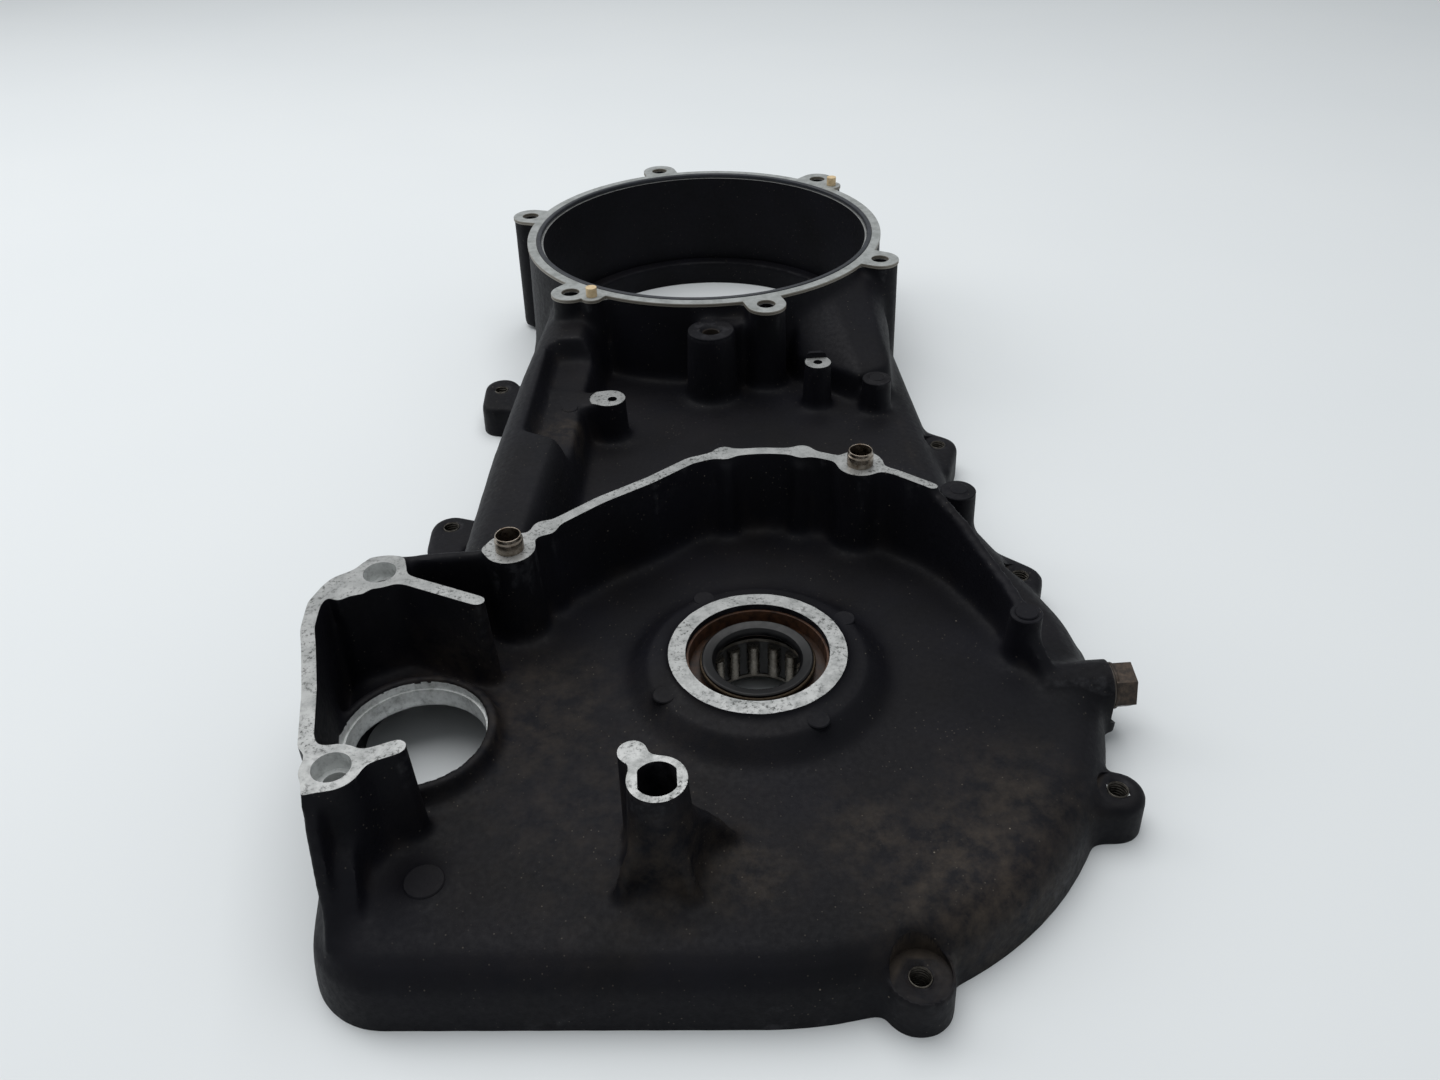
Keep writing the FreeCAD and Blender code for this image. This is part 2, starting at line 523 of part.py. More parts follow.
cuts.append(post(STARTER[0], STARTER[1], size("starter_bore_radius"), STEP, PAD))
cuts.append(post(STARTER[0], STARTER[1], size("starter_step_radius"), -PAST, PAD))
cuts.append(post(0, SHAFT_Y, SEAL_R + FIT, SEAL_LOW, HUB + PAST))
cuts.append(post(0, SHAFT_Y, BEARING_R + FIT, size("housing_bottom") - PAST, BEARING_TOP))
cuts.append(post(0, SHAFT_Y, BEARING_R - 2.0, size("housing_bottom") - PAST, HUB))
cuts.append(post(0, SHAFT_Y, BEARING_R + size("clip_section"), BEARING_LOW - size("clip_section"),
                 BEARING_LOW))
cuts.append(post(MID_BOSS[0], MID_BOSS[1], 4.2, MID_TOP - 30, MID_TOP + PAST))
cuts.append(Part.makeCone(4.2, 6.4, 2.2, V(MID_BOSS[0], MID_BOSS[1], up(MID_TOP - 2))))
cuts.append(post(STUB_BOSS[0], STUB_BOSS[1], 2.3, 36, 60))
cuts.append(post(EAR_BOSS_HOLE[0], EAR_BOSS_HOLE[1], 2.3, 34, 60))
for (x, y), seat, spotface in LUGS:
    cuts.append(post(x, y, size("lug_hole_radius"), -PAST, seat + PAST))
    cuts.append(post(x, y, spotface, seat, WEB + 14))
DRAIN_HOLE = size("drain_shank") + PAST
cuts.append(Part.makeCylinder(size("drain_thread_radius") + FIT, DRAIN_HOLE + PAST,
                              V(size("drain_face_x") - DRAIN_HOLE, size("drain_y"), up(size("drain_height"))),
                              V(1, 0, 0)))
for tool in cuts:
    body = body.cut(tool)

# Every piece is kept under its label; simple pieces are primitives bound to the sheet
kept = []


def keep(item, label):
    item.Label = label
    kept.append(item)
    return item


def feature(label, shape):
    item = doc.addObject("Part::Feature", label)
    item.Shape = shape
    return keep(item, label)


def primitive(kind, name, place, rotation=None, **values):
    """Part primitive; its values and its place (x, y, height above the sealing face) are expressions."""
    item = doc.addObject("Part::" + kind, name)
    if rotation:
        item.Placement.Rotation = rotation
    for key, text in values.items():
        item.setExpression(key, text)
    item.setExpression("Placement.Base.x", place[0])
    item.setExpression("Placement.Base.y", place[1])
    item.setExpression("Placement.Base.z", place[2] + " - Sizes.flange_height")
    return item


def less(name, base, tools):
    for number, tool in enumerate(tools, start=1):
        cut = doc.addObject("Part::Cut", "%s_cut_%d" % (name, number))
        cut.Base = base
        cut.Tool = tool
        base = cut
    return base


def merged(name, items):
    fuse = doc.addObject("Part::MultiFuse", name)
    fuse.Shapes = items
    return fuse


def on_shaft(height):
    return "0", "-Sizes.shaft_distance", height


feature("cover_casting", body)

# Gasket plate follows the flange a little wider than it: ring, ears and pin lobes
OVERHANG = 0.4
PLATE_TOP = FLANGE + size("gasket_thickness")
BEAD_OUT = size("crank_bore_radius") + size("bead_step") + size("bead_width")
plate_parts = [post(0, 0, RING_R + OVERHANG, FLANGE, PLATE_TOP)]
plate_holes = [post(0, 0, BEAD_OUT, FLANGE - PAST, PLATE_TOP + PAST)]
for (x, y), neck in zip(EARS, EAR_NECKS):
    plate_parts.append(capsule(neck, (x, y), size("ear_radius") + OVERHANG, FLANGE, PLATE_TOP))
    plate_holes.append(post(x, y, size("ear_hole_radius") + OVERHANG, FLANGE - PAST, PLATE_TOP + PAST))
for (x, y), neck in zip(PINS, PIN_NECKS):
    plate_parts.append(capsule(neck, (x, y), PIN_LOBE_R + OVERHANG, FLANGE, PLATE_TOP))
    plate_holes.append(post(x, y, size("pin_radius") + FIT, FLANGE - PAST, PLATE_TOP + PAST))
plate = plate_parts[0].multiFuse(plate_parts[1:])
for hole in plate_holes:
    plate = plate.cut(hole)
feature("crankcase_gasket", plate)

BEAD_INSIDE = "Sizes.crank_bore_radius + Sizes.bead_step"
bead = primitive("Cylinder", "bead_band", ("0", "0", "Sizes.flange_height"),
                 Radius=BEAD_INSIDE + " + Sizes.bead_width - Sizes.fit_gap", Height="Sizes.bead_height")
bead_bore = primitive("Cylinder", "bead_bore", ("0", "0", "Sizes.flange_height - 1"),
                      Radius=BEAD_INSIDE, Height="Sizes.bead_height + 2")
keep(less("bead", bead, [bead_bore]), "gasket_bead")
for number, angle in enumerate(PIN_ANGLES, start=1):
    place = ("Sizes.pin_circle_radius * cos(%g)" % angle, "Sizes.pin_circle_radius * sin(%g)" % angle,
             "Sizes.flange_height - Sizes.pin_depth")
    head_place = (place[0], place[1], "Sizes.flange_height + Sizes.gasket_thickness + Sizes.fit_gap")
    pin = primitive("Cylinder", "pin_%d" % number, place, Radius="Sizes.pin_radius",
                    Height="Sizes.pin_depth + Sizes.gasket_thickness + Sizes.pin_stand")
    pin_head = primitive("Cylinder", "pin_head_%d" % number, head_place, Radius="Sizes.pin_head_radius",
                         Height="Sizes.pin_stand - Sizes.fit_gap")
    keep(merged("pin_with_head_%d" % number, [pin, pin_head]), "gasket_pin_%d" % number)

# Oil seal: pressed steel case, moulded lip with its collar, garter spring round the collar
SEAL_AT = total_text(HUB_HEIGHTS, "shoulder")
SEAL_OUT = total_text(HUB_RADII, "seal_step")
CASE_FLOOR = 0.8
case_blank = primitive("Cylinder", "case_blank", on_shaft(SEAL_AT), Radius=SEAL_OUT,
                       Height="Sizes.seal_depth")
case_cup = primitive("Cylinder", "case_cup", on_shaft(SEAL_AT + " + %g" % CASE_FLOOR),
                     Radius=SEAL_OUT + " - Sizes.case_wall", Height="Sizes.seal_depth")
case_mouth = primitive("Cylinder", "case_mouth", on_shaft(SEAL_AT + " - 1"),
                       Radius="Sizes.roller_circle_radius + 0.5", Height="Sizes.seal_depth")
keep(less("case", case_blank, [case_cup, case_mouth]), "oil_seal_case")

SHAFT_R = size("roller_circle_radius") - size("roller_radius")
COLLAR_R = SHAFT_R + size("lip_wall")
SPRING_RISE = 4.4
lip_profile = [(SHAFT_R - 0.05, 3.0), (SHAFT_R - 0.05, 3.7), (SHAFT_R + 1.2, 5.8), (COLLAR_R - 0.7, 6.5),
               (COLLAR_R, 6.0), (COLLAR_R, 1.5), (SEAL_R - size("case_wall") - FIT, 1.5),
               (SEAL_R - size("case_wall") - FIT, CASE_FLOOR), (SHAFT_R + 2.4, CASE_FLOOR), (SHAFT_R + 1.4, 2.0)]
lip_points = [V(radius, SHAFT_Y, up(SEAL_LOW + rise)) for radius, rise in lip_profile]
lip_face = Part.Face(Part.makePolygon(lip_points + lip_points[:1]))
lip = lip_face.revolve(V(0, SHAFT_Y, 0), V(0, 0, 1), 360)
spring_groove = Part.makeTorus(COLLAR_R, size("spring_radius") + FIT, V(0, SHAFT_Y, up(SEAL_LOW + SPRING_RISE)))
feature("oil_seal_lip", lip.cut(spring_groove))
spring = primitive("Torus", "spring", on_shaft(SEAL_AT + " + %g" % SPRING_RISE),
                   Radius1="Sizes.roller_circle_radius - Sizes.roller_radius + Sizes.lip_wall",
                   Radius2="Sizes.spring_radius")
keep(spring, "seal_garter_spring")

# Roller bearing of the mainshaft
BEARING_AT = total_text(HUB_HEIGHTS, "clip_section")
TRACK = total_text(HUB_RADII, "running_gap")
BEARING_OUT = total_text(HUB_RADII, "race_wall")
ring_blank = primitive("Cylinder", "ring_blank", on_shaft(BEARING_AT), Radius=BEARING_OUT,
                       Height="Sizes.bearing_length")
track = primitive("Cylinder", "track", on_shaft(BEARING_AT + " + Sizes.race_lip"), Radius=TRACK,
                  Height="Sizes.bearing_length - 2 * Sizes.race_lip")
ring_mouth = primitive("Cylinder", "ring_mouth", on_shaft(BEARING_AT + " - 1"),
                       Radius=TRACK + " - Sizes.race_lip_reach", Height="Sizes.bearing_length + 2")
keep(less("ring", ring_blank, [track, ring_mouth]), "bearing_outer_ring")

ROLLER_AT = BEARING_AT + " + (Sizes.bearing_length - Sizes.roller_length) / 2"
CAGE_AT = ROLLER_AT + " - Sizes.cage_end - Sizes.running_gap"
CAGE_LENGTH = "Sizes.roller_length + 2 * Sizes.cage_end + 2 * Sizes.running_gap"
cage_blank = primitive("Cylinder", "cage_blank", on_shaft(CAGE_AT), Radius=TRACK + " - Sizes.cage_gap",
                       Height=CAGE_LENGTH)
cage_tools = [primitive("Cylinder", "cage_bore", on_shaft(CAGE_AT + " - 1"),
                        Radius="Sizes.roller_circle_radius + Sizes.cage_gap",
                        Height=CAGE_LENGTH + " + 2")]
rollers = []
for number in range(1, int(size("roller_count")) + 1):
    turn = "(90 + 360 * %d / Sizes.roller_count)" % (number - 1)
    roller_x = "Sizes.roller_circle_radius * cos" + turn
    roller_y = "Sizes.roller_circle_radius * sin" + turn + " - Sizes.shaft_distance"
    cage_tools.append(primitive("Cylinder", "window_%02d" % number,
                                (roller_x, roller_y, ROLLER_AT + " - Sizes.running_gap"),
                                Radius="Sizes.roller_radius + Sizes.running_gap",
                                Height="Sizes.roller_length + 2 * Sizes.running_gap"))
    rollers.append(primitive("Cylinder", "roller_%d" % number, (roller_x, roller_y, ROLLER_AT),
                             Radius="Sizes.roller_radius", Height="Sizes.roller_length"))
keep(less("cage", cage_blank, cage_tools), "bearing_cage")
for number, roller in enumerate(rollers, start=1):
    keep(roller, "roller_%02d" % number)

CLIP_PLAY = 0.1
clip_blank = primitive("Cylinder", "clip_blank", on_shaft(BEARING_AT + " - Sizes.clip_section + %g" % CLIP_PLAY),
                       Radius=BEARING_OUT + " + Sizes.clip_section - %g" % CLIP_PLAY,
                       Height="Sizes.clip_section - %g - Sizes.fit_gap" % CLIP_PLAY)
clip_bore = primitive("Cylinder", "clip_bore", on_shaft("Sizes.housing_bottom"), Radius=BEARING_OUT + " - 1.6",
                      Height="Sizes.bearing_length")
clip_gap = primitive("Box", "clip_gap", ("-4", "15 - Sizes.shaft_distance", "Sizes.housing_bottom"),
                     Length="8", Width="20", Height="Sizes.bearing_length")
keep(less("clip", clip_blank, [clip_bore, clip_gap]), "bearing_retaining_ring")

# Dowel sleeves with a narrowed free end
NOSE_STEP = 0.5
for label, (x, y) in (("dowel_sleeve_left", PAD_A), ("dowel_sleeve_right", PAD_B)):
    def on_pad(height):
        return "%g" % x, "%g" % y, "Sizes.pad_height + " + height

    barrel = primitive("Cylinder", label + "_barrel", on_pad("-Sizes.dowel_depth"), Radius="Sizes.dowel_radius",
                       Height="Sizes.dowel_depth + Sizes.dowel_stand - Sizes.dowel_nose")
    taper = primitive("Cone", label + "_taper", on_pad("Sizes.dowel_stand - Sizes.dowel_nose"),
                      Radius1="Sizes.dowel_radius", Radius2="Sizes.dowel_radius - %g" % NOSE_STEP,
                      Height="%g" % NOSE_STEP)
    nose = primitive("Cylinder", label + "_nose", on_pad("Sizes.dowel_stand - Sizes.dowel_nose"),
                     Radius="Sizes.dowel_radius - %g" % NOSE_STEP, Height="Sizes.dowel_nose")
    bore = primitive("Cylinder", label + "_bore", on_pad("-Sizes.dowel_depth - 1"),
                     Radius="Sizes.dowel_bore_radius", Height="Sizes.dowel_depth + Sizes.dowel_stand + 2")
    keep(less(label, merged(label + "_body", [barrel, taper, nose]), [bore]), label)

# Drain plug and its sealing ring, lying along X
LYING = FreeCAD.Rotation(V(0, 1, 0), 90)
TURNED = LYING.multiply(FreeCAD.Rotation(V(0, 0, 1), 42))
COLLAR = "Sizes.drain_head_flats / 2 + Sizes.drain_collar"


def on_drain(x):
    return x, "Sizes.drain_y", "Sizes.drain_height"


HEAD_AT = "Sizes.drain_face_x + Sizes.drain_ring_thickness"
shank = primitive("Cylinder", "plug_shank", on_drain("Sizes.drain_face_x - Sizes.drain_shank"), LYING,
                  Radius="Sizes.drain_thread_radius", Height="Sizes.drain_shank + Sizes.drain_ring_thickness + 1")
collar = primitive("Cylinder", "plug_collar", on_drain(HEAD_AT), LYING, Radius=COLLAR, Height="1.2")
head = primitive("Prism", "plug_head", on_drain(HEAD_AT), TURNED, Circumradius="Sizes.drain_head_flats / sqrt(3)",
                 Height="Sizes.drain_head_height")
head.Polygon = 6
keep(merged("plug", [shank, collar, head]), "drain_plug")
washer = primitive("Cylinder", "washer_blank", on_drain("Sizes.drain_face_x"), LYING, Radius=COLLAR,
                   Height="Sizes.drain_ring_thickness")
washer_bore = primitive("Cylinder", "washer_bore", on_drain("Sizes.drain_face_x - 1"), LYING,
                        Radius="Sizes.drain_thread_radius + Sizes.fit_gap", Height="Sizes.drain_ring_thickness + 2")
keep(less("washer", washer, [washer_bore]), "drain_sealing_ring")

doc.recompute()

for item in doc.Objects:
    if any(state in ("Invalid", "Error") for state in item.State):
        raise ValueError("%s could not be built" % item.Name)
for item in kept:
    if item.Shape.isNull() or not item.Shape.isValid() or len(item.Shape.Solids) != 1:
        raise ValueError("%s is not one valid solid" % item.Label)

os.makedirs("parts", exist_ok=True)
for item in kept:
    item.Shape.exportStep("parts/%s.step" % item.Label)
    box = item.Shape.BoundBox
    print("%-24s %4d faces  volume %9.1f  z %7.2f %7.2f" % (
        item.Label, len(item.Shape.Faces), item.Shape.Volume, box.ZMin, box.ZMax))
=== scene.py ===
"""Looks of a cast inner primary cover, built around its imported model.

The casting gets a skin with the soft corners of a sand casting and crisp machined faces. The garter spring
is wound from wire, the screw holes get their threads, and every surface gets a finish of its own.
Sizes in the classes are millimetres in the frame of the model; meshes are written in metres.
"""
import logging
import math
from dataclasses import dataclass, field
from enum import Enum

import bmesh
import bpy
import numpy as np
from mathutils import Matrix, Vector


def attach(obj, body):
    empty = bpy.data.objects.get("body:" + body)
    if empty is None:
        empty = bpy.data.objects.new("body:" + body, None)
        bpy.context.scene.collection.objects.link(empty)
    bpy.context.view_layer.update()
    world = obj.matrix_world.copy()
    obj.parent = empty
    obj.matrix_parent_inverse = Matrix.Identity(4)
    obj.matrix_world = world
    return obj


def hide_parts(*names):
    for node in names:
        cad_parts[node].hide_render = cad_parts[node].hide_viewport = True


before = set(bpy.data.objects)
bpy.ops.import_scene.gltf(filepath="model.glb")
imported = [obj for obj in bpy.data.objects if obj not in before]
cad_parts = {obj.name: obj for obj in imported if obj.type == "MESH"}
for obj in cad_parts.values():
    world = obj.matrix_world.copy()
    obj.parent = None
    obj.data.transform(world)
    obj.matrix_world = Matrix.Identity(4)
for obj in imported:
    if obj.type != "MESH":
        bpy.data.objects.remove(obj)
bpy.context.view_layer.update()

MM = 0.001
FLANGE_HEIGHT = 70.0
COVER = "cover"
SHAFT = (0.0, -337.0)
WAVE_FACTOR = 6.3
Socket = bpy.types.NodeSocket
Solid = tuple[np.ndarray, list[list[int]]]
log = logging.getLogger("cover")


def up(height: float) -> float:
    """Height above the outer sealing face to z of the frame, both in millimetres."""
    return height - FLANGE_HEIGHT


def linear(colour: str) -> tuple[float, float, float, float]:
    """Turns an sRGB hex colour into a linear one.

    Args:
        colour: six hex digits after a hash.

    Returns:
        Linear red, green, blue and an alpha of 1.
    """
    parts = [int(colour[k:k + 2], 16) / 255 for k in (1, 3, 5)]
    return (*[p / 12.92 if p <= 0.04045 else ((p + 0.055) / 1.055) ** 2.4 for p in parts], 1.0)


def per_mm(size: float) -> float:
    """Scale of a pattern in metres whose features are size millimetres wide."""
    return 1000.0 / size


def per_wave(size: float) -> float:
    """Scale of a wave pattern in metres whose light bands are size millimetres wide."""
    return per_mm(size) / WAVE_FACTOR


# Meshes


def mesh_object(name: str, points: np.ndarray, faces: list[list[int]]) -> bpy.types.Object:
    """Makes an object at the origin from points in millimetres.

    Args:
        name: name of the object and of its mesh.
        points: one row of x, y, z for each vertex.
        faces: lists of vertex numbers, counter-clockwise seen from outside.

    Returns:
        The new object, linked to the scene.
    """
    mesh = bpy.data.meshes.new(name)
    mesh.from_pydata((points * MM).tolist(), [], faces)
    mesh.update()
    made = bpy.data.objects.new(name, mesh)
    bpy.context.scene.collection.objects.link(made)
    return made


def grid_object(name: str, points: np.ndarray) -> bpy.types.Object:
    """Makes a closed surface from a grid that joins back to its start both ways.

    Args:
        name: name of the object.
        points: grid of points, rows by columns by 3, in millimetres.

    Returns:
        The object, shaded smooth, its faces pointing outwards.
    """
    rows, columns = points.shape[:2]
    u0, v0 = np.meshgrid(np.arange(rows), np.arange(columns), indexing="ij")
    u1, v1 = (u0 + 1) % rows, (v0 + 1) % columns
    corners = np.stack([u0 * columns + v0, u1 * columns + v0, u1 * columns + v1, u0 * columns + v1], axis=-1)
    made = mesh_object(name, points.reshape(-1, 3), corners.reshape(-1, 4).tolist())
    work = bmesh.new()
    work.from_mesh(made.data)
    bmesh.ops.recalc_face_normals(work, faces=work.faces)
    work.to_mesh(made.data)
    work.free()
    made.data.shade_smooth()
    return made


def prism(outline: np.ndarray, low: float, high: float, top: np.ndarray | None = None) -> Solid:
    """Solid between an outline at one height and the same or another outline at a second height.

    Args:
        outline: x and y of each corner, counter-clockwise.
        low: z of the outline.
        high: z of the upper end.
        top: outline of the upper end where it differs.

    Returns:
        Vertices in millimetres and faces.
    """
    count = len(outline)
    upper = outline if top is None else top
    points = np.vstack([np.column_stack([outline, np.full(count, low)]),
                        np.column_stack([upper, np.full(count, high)])])
    sides = [[k, (k + 1) % count, count + (k + 1) % count, count + k] for k in range(count)]
    return points, sides + [list(range(count))[::-1], list(range(count, 2 * count))]


def circle(x: float, y: float, radius: float, sides: int = 72) -> np.ndarray:
    """Points of a circle: centre plus radius times cosine and sine of even turns."""
    turn = np.linspace(0, 2 * np.pi, sides, endpoint=False)
    return np.column_stack([x + radius * np.cos(turn), y + radius * np.sin(turn)])


def barrel(x: float, y: float, radius: float, low: float, high: float, sides: int = 72) -> Solid:
    """Upright cylinder."""
    return prism(circle(x, y, radius, sides), low, high)


def disc(x: float, y: float, radius: float, low: float, high: float,
         edge: float = 0.35, sides: int = 56) -> Solid:
    """Upright cylinder whose upper edge is broken by a small chamfer."""
    rings = ((radius, low), (radius, high - edge), (radius - edge, high))
    points = np.vstack([np.column_stack([circle(x, y, r, sides), np.full(sides, z)]) for r, z in rings])
    turn = [(k, (k + 1) % sides) for k in range(sides)]
    walls = [[a + row, b + row, b + row + sides, a + row + sides] for row in (0, sides) for a, b in turn]
    return points, walls + [list(range(sides))[::-1], list(range(2 * sides, 3 * sides))]


def block(low: tuple[float, float, float], high: tuple[float, float, float]) -> Solid:
    """Box between two corners."""
    outline = np.array([(low[0], low[1]), (high[0], low[1]), (high[0], high[1]), (low[0], high[1])])
    return prism(outline, low[2], high[2])


def lying(solid: Solid, x: float, y: float, z: float) -> Solid:
    """Turns a solid about Y so that its height runs along X, then moves its origin to a point."""
    points, faces = solid
    turned = np.column_stack([points[:, 2] + x, points[:, 1] + y, -points[:, 0] + z])
    return turned, faces


def joined(name: str, solids: list[Solid]) -> bpy.types.Object:
    """Puts solids that don't overlap into one object."""
    points, faces, start = [], [], 0
    for vertices, polygons in solids:
        points.append(vertices)
        faces += [[corner + start for corner in polygon] for polygon in polygons]
        start += len(vertices)
    return mesh_object(name, np.vstack(points), faces)


def coordinates(mesh: bpy.types.Mesh) -> np.ndarray:
    """Vertex places of a mesh in millimetres."""
    flat = np.empty(len(mesh.vertices) * 3)
    mesh.vertices.foreach_get("co", flat)
    return flat.reshape(-1, 3) / MM


def apply_modifiers(made: bpy.types.Object) -> None:
    """Writes the result of an object's modifiers into its mesh."""
    evaluated = made.evaluated_get(bpy.context.evaluated_depsgraph_get())
    mesh = bpy.data.meshes.new_from_object(evaluated)
    made.modifiers.clear()
    old = made.data
    made.data = mesh
    bpy.data.meshes.remove(old)


# Materials


class Painter:
    """Builds one material, node by node."""

    def __init__(self, name: str) -> None:
        """Starts an empty material with its surface shader.

        Args:
            name: name of the material.
        """
        self.material = bpy.data.materials.new(name)
        self.material.use_nodes = True
        self.tree = self.material.node_tree
        self.tree.nodes.clear()
        self.shader = self.add("ShaderNodeBsdfPrincipled")
        self.add("ShaderNodeOutputMaterial", {"Surface": self.shader.outputs[0]})
        self.place = self.add("ShaderNodeTexCoord").outputs["Object"]

    def add(self, kind: str, inputs: dict[str | int, object] | None = None,
            **settings: object) -> bpy.types.Node:
        """Adds a node with its settings and links.

        Args:
            kind: type of the node.
            inputs: for each input, a socket to link or a value to set.
            **settings: properties of the node.

        Returns:
            The new node.
        """
        node = self.tree.nodes.new(kind)
        for key, value in settings.items():
            setattr(node, key, value)
        for key, value in (inputs or {}).items():
            if isinstance(value, Socket):
                self.tree.links.new(value, node.inputs[key])
            else:
                node.inputs[key].default_value = value
        return node

    def noise(self, size: float, detail: float = 3.0, rough: float = 0.55) -> Socket:
        """Soft noise from 0 to 1 with features of a size in millimetres."""
        return self.add("ShaderNodeTexNoise", {"Vector": self.place, "Scale": per_mm(size),
                                               "Detail": detail, "Roughness": rough}).outputs[0]

    def cells(self, size: float) -> Socket:
        """Distance to the nearest of scattered points, about size millimetres apart."""
        return self.add("ShaderNodeTexVoronoi", {"Vector": self.place, "Scale": per_mm(size)}).outputs[0]

    def ramp(self, value: Socket, low: float, high: float, start: float = 0.0, end: float = 1.0) -> Socket:
        """Maps a value between low and high to start and end, held beyond them."""
        return self.add("ShaderNodeMapRange", {0: value, 1: low, 2: high, 3: start, 4: end}).outputs[0]

    def maths(self, operation: str, a: Socket | float, b: Socket | float = 0.0) -> Socket:
        """One arithmetic step on one or two values."""
        return self.add("ShaderNodeMath", {0: a, 1: b}, operation=operation).outputs[0]

    def mix(self, share: Socket | float, first: Socket | str, second: Socket | str) -> Socket:
        """Mixes two colours, each a socket or a hex colour."""
        ends = [linear(c) if isinstance(c, str) else c for c in (first, second)]
        node = self.add("ShaderNodeMix", {0: share}, data_type="RGBA")
        for socket, end in zip((node.inputs[6], node.inputs[7]), ends):
            if isinstance(end, Socket):
                self.tree.links.new(end, socket)
            else:
                socket.default_value = end
        return node.outputs[2]

    def facing_up(self) -> Socket:
        """How far the surface faces upwards, from -1 to 1."""
        normal = self.add("ShaderNodeNewGeometry").outputs["Normal"]
        return self.add("ShaderNodeSeparateXYZ", {0: normal}).outputs["Z"]

    def attribute(self, name: str) -> Socket:
        """Value that the mesh carries at each vertex."""
        return self.add("ShaderNodeAttribute", attribute_name=name).outputs["Fac"]

    def near(self, centre: tuple[float, float, float], radius: float, soft: float) -> Socket:
        """1 inside a ball round a point in millimetres, falling to 0 over a soft edge."""
        point = tuple(c * MM for c in centre)
        gap = self.add("ShaderNodeVectorMath", {0: self.place, 1: point}, operation="DISTANCE")
        return self.ramp(gap.outputs["Value"], (radius + soft) * MM, radius * MM)

    def bump(self, height: Socket, depth: float, strength: float = 1.0,
             under: Socket | None = None) -> Socket:
        """Bump whose full height is depth millimetres."""
        inputs: dict[str | int, object] = {"Height": height, "Distance": depth * MM, "Strength": strength}
        if under is not None:
            inputs["Normal"] = under
        return self.add("ShaderNodeBump", inputs).outputs[0]

    def surface(self, **sockets: object) -> bpy.types.Material:
        """Sets or links inputs of the surface shader, named with underscores for spaces.

        Returns:
            The finished material.
        """
        for key, value in sockets.items():
            socket = self.shader.inputs[key.replace("_", " ")]
            if isinstance(value, Socket):
                self.tree.links.new(value, socket)
            elif isinstance(value, str):
                socket.default_value = linear(value)
            else:
                socket.default_value = value
        return self.material


@dataclass(frozen=True)
class Smear:
    """Dusty patch on the coat; some patches also paint a sheen of light."""

    centre: tuple[float, float, float]
    radius: float
    soft: float
    strength: float


@dataclass(frozen=True)
class PowderCoat:
    """Black textured powder coat, sprayed and baked: matt, finely pebbled, with dust in its corners and a
    painted sheen of light on part of the web.
    """

    dark: str = "#08080c"
    light: str = "#0f0f15"
    dust_and_sheen_colour: str = "#4d443a"
    rubbed: str = "#333336"
    fleck: str = "#8d8578"
    film: float = 0.045
    pebble: float = 0.9
    dust_and_sheen_smears: tuple[Smear, ...] = (
        # The first two patches, right of the middle near the front, paint a sheen of light on the web as well
        # as dust.
        Smear((62, -436, -44), 10, 42, 0.55),
        Smear((78, -410, -44), 8, 34, 0.4),
        Smear((30, -418, -44), 4, 26, 0.4),
        Smear((-86, -352, -44), 16, 34, 0.3),
        Smear((-118, -338, -44), 8, 26, 0.35),
        Smear((-76, -182, -23), 4, 16, 0.5),
        Smear((-12, -428, -40), 4, 20, 0.5),
        Smear((-38, -436, -30), 6, 22, 0.4),
        Smear((-60, -400, -44), 14, 60, 0.2),
    )

    def make(self) -> bpy.types.Material:
        """Builds the material.

        Returns:
            The coat, which reads the attribute corner of the skin.
        """
        p = Painter("black_powder_coat")
        tone = p.mix(p.ramp(p.noise(38, 4), 0.3, 0.7), self.dark, self.light)
        corner = p.attribute("corner")
        grime = p.maths("MULTIPLY", p.ramp(corner, 0.08, 0.6, 0, 0.55), p.ramp(p.noise(14, 4), 0.35, 0.7))
        patch: Socket | float = grime
        # Each patch mixes in the dust colour; in the first two it is painted sheen as well as dust.
        for smear in self.dust_and_sheen_smears:
            spot = p.maths("MULTIPLY", p.near(smear.centre, smear.radius, smear.soft), smear.strength)
            cloud = p.ramp(p.noise(9, 6, 0.7), 0.38, 0.72)
            patch = p.maths("MAXIMUM", patch, p.maths("MULTIPLY", spot, cloud))
        lying_dust = p.ramp(p.facing_up(), 0.6, 1.0, 0, self.film)
        film = p.maths("MULTIPLY", lying_dust, p.ramp(p.noise(55, 5), 0.42, 0.7))
        # Dust colour: real dust in corners and on top faces, and painted sheen of light in the first two
        # patches.
        colour = p.mix(p.maths("MAXIMUM", patch, film), tone, self.dust_and_sheen_colour)
        outer_edge = p.ramp(corner, -0.18, -0.7, 0, 0.5)
        edge = p.maths("MULTIPLY", outer_edge, p.ramp(p.noise(5, 5, 0.7), 0.45, 0.62))
        colour = p.mix(edge, colour, self.rubbed)
        speck = p.maths("MULTIPLY", p.ramp(p.cells(7), 0.05, 0.03), p.ramp(p.noise(30, 2), 0.55, 0.62))
        colour = p.mix(p.maths("MULTIPLY", speck, 0.5), colour, self.fleck)
        fluff = p.maths("MULTIPLY", p.ramp(p.cells(2.6), 0.12, 0.07), p.ramp(p.noise(17, 3), 0.45, 0.6))
        colour = p.mix(p.maths("MULTIPLY", fluff, 0.22), colour, self.fleck)
        grain = p.bump(p.noise(self.pebble, 4, 0.65), 0.09, 0.75)
        waves = p.bump(p.noise(7, 2), 0.12, 0.5, grain)
        rough = p.ramp(p.noise(2.2, 4), 0.3, 0.7, 0.5, 0.66)
        return p.surface(Base_Color=colour, Roughness=rough, Specular_IOR_Level=0.13, Normal=waves)


class Lay(Enum):
    """Direction of the cutter marks on a machined face."""

    MILLED = "milled"
    TURNED_WALL = "turned wall"
    FACED_RING = "faced ring"


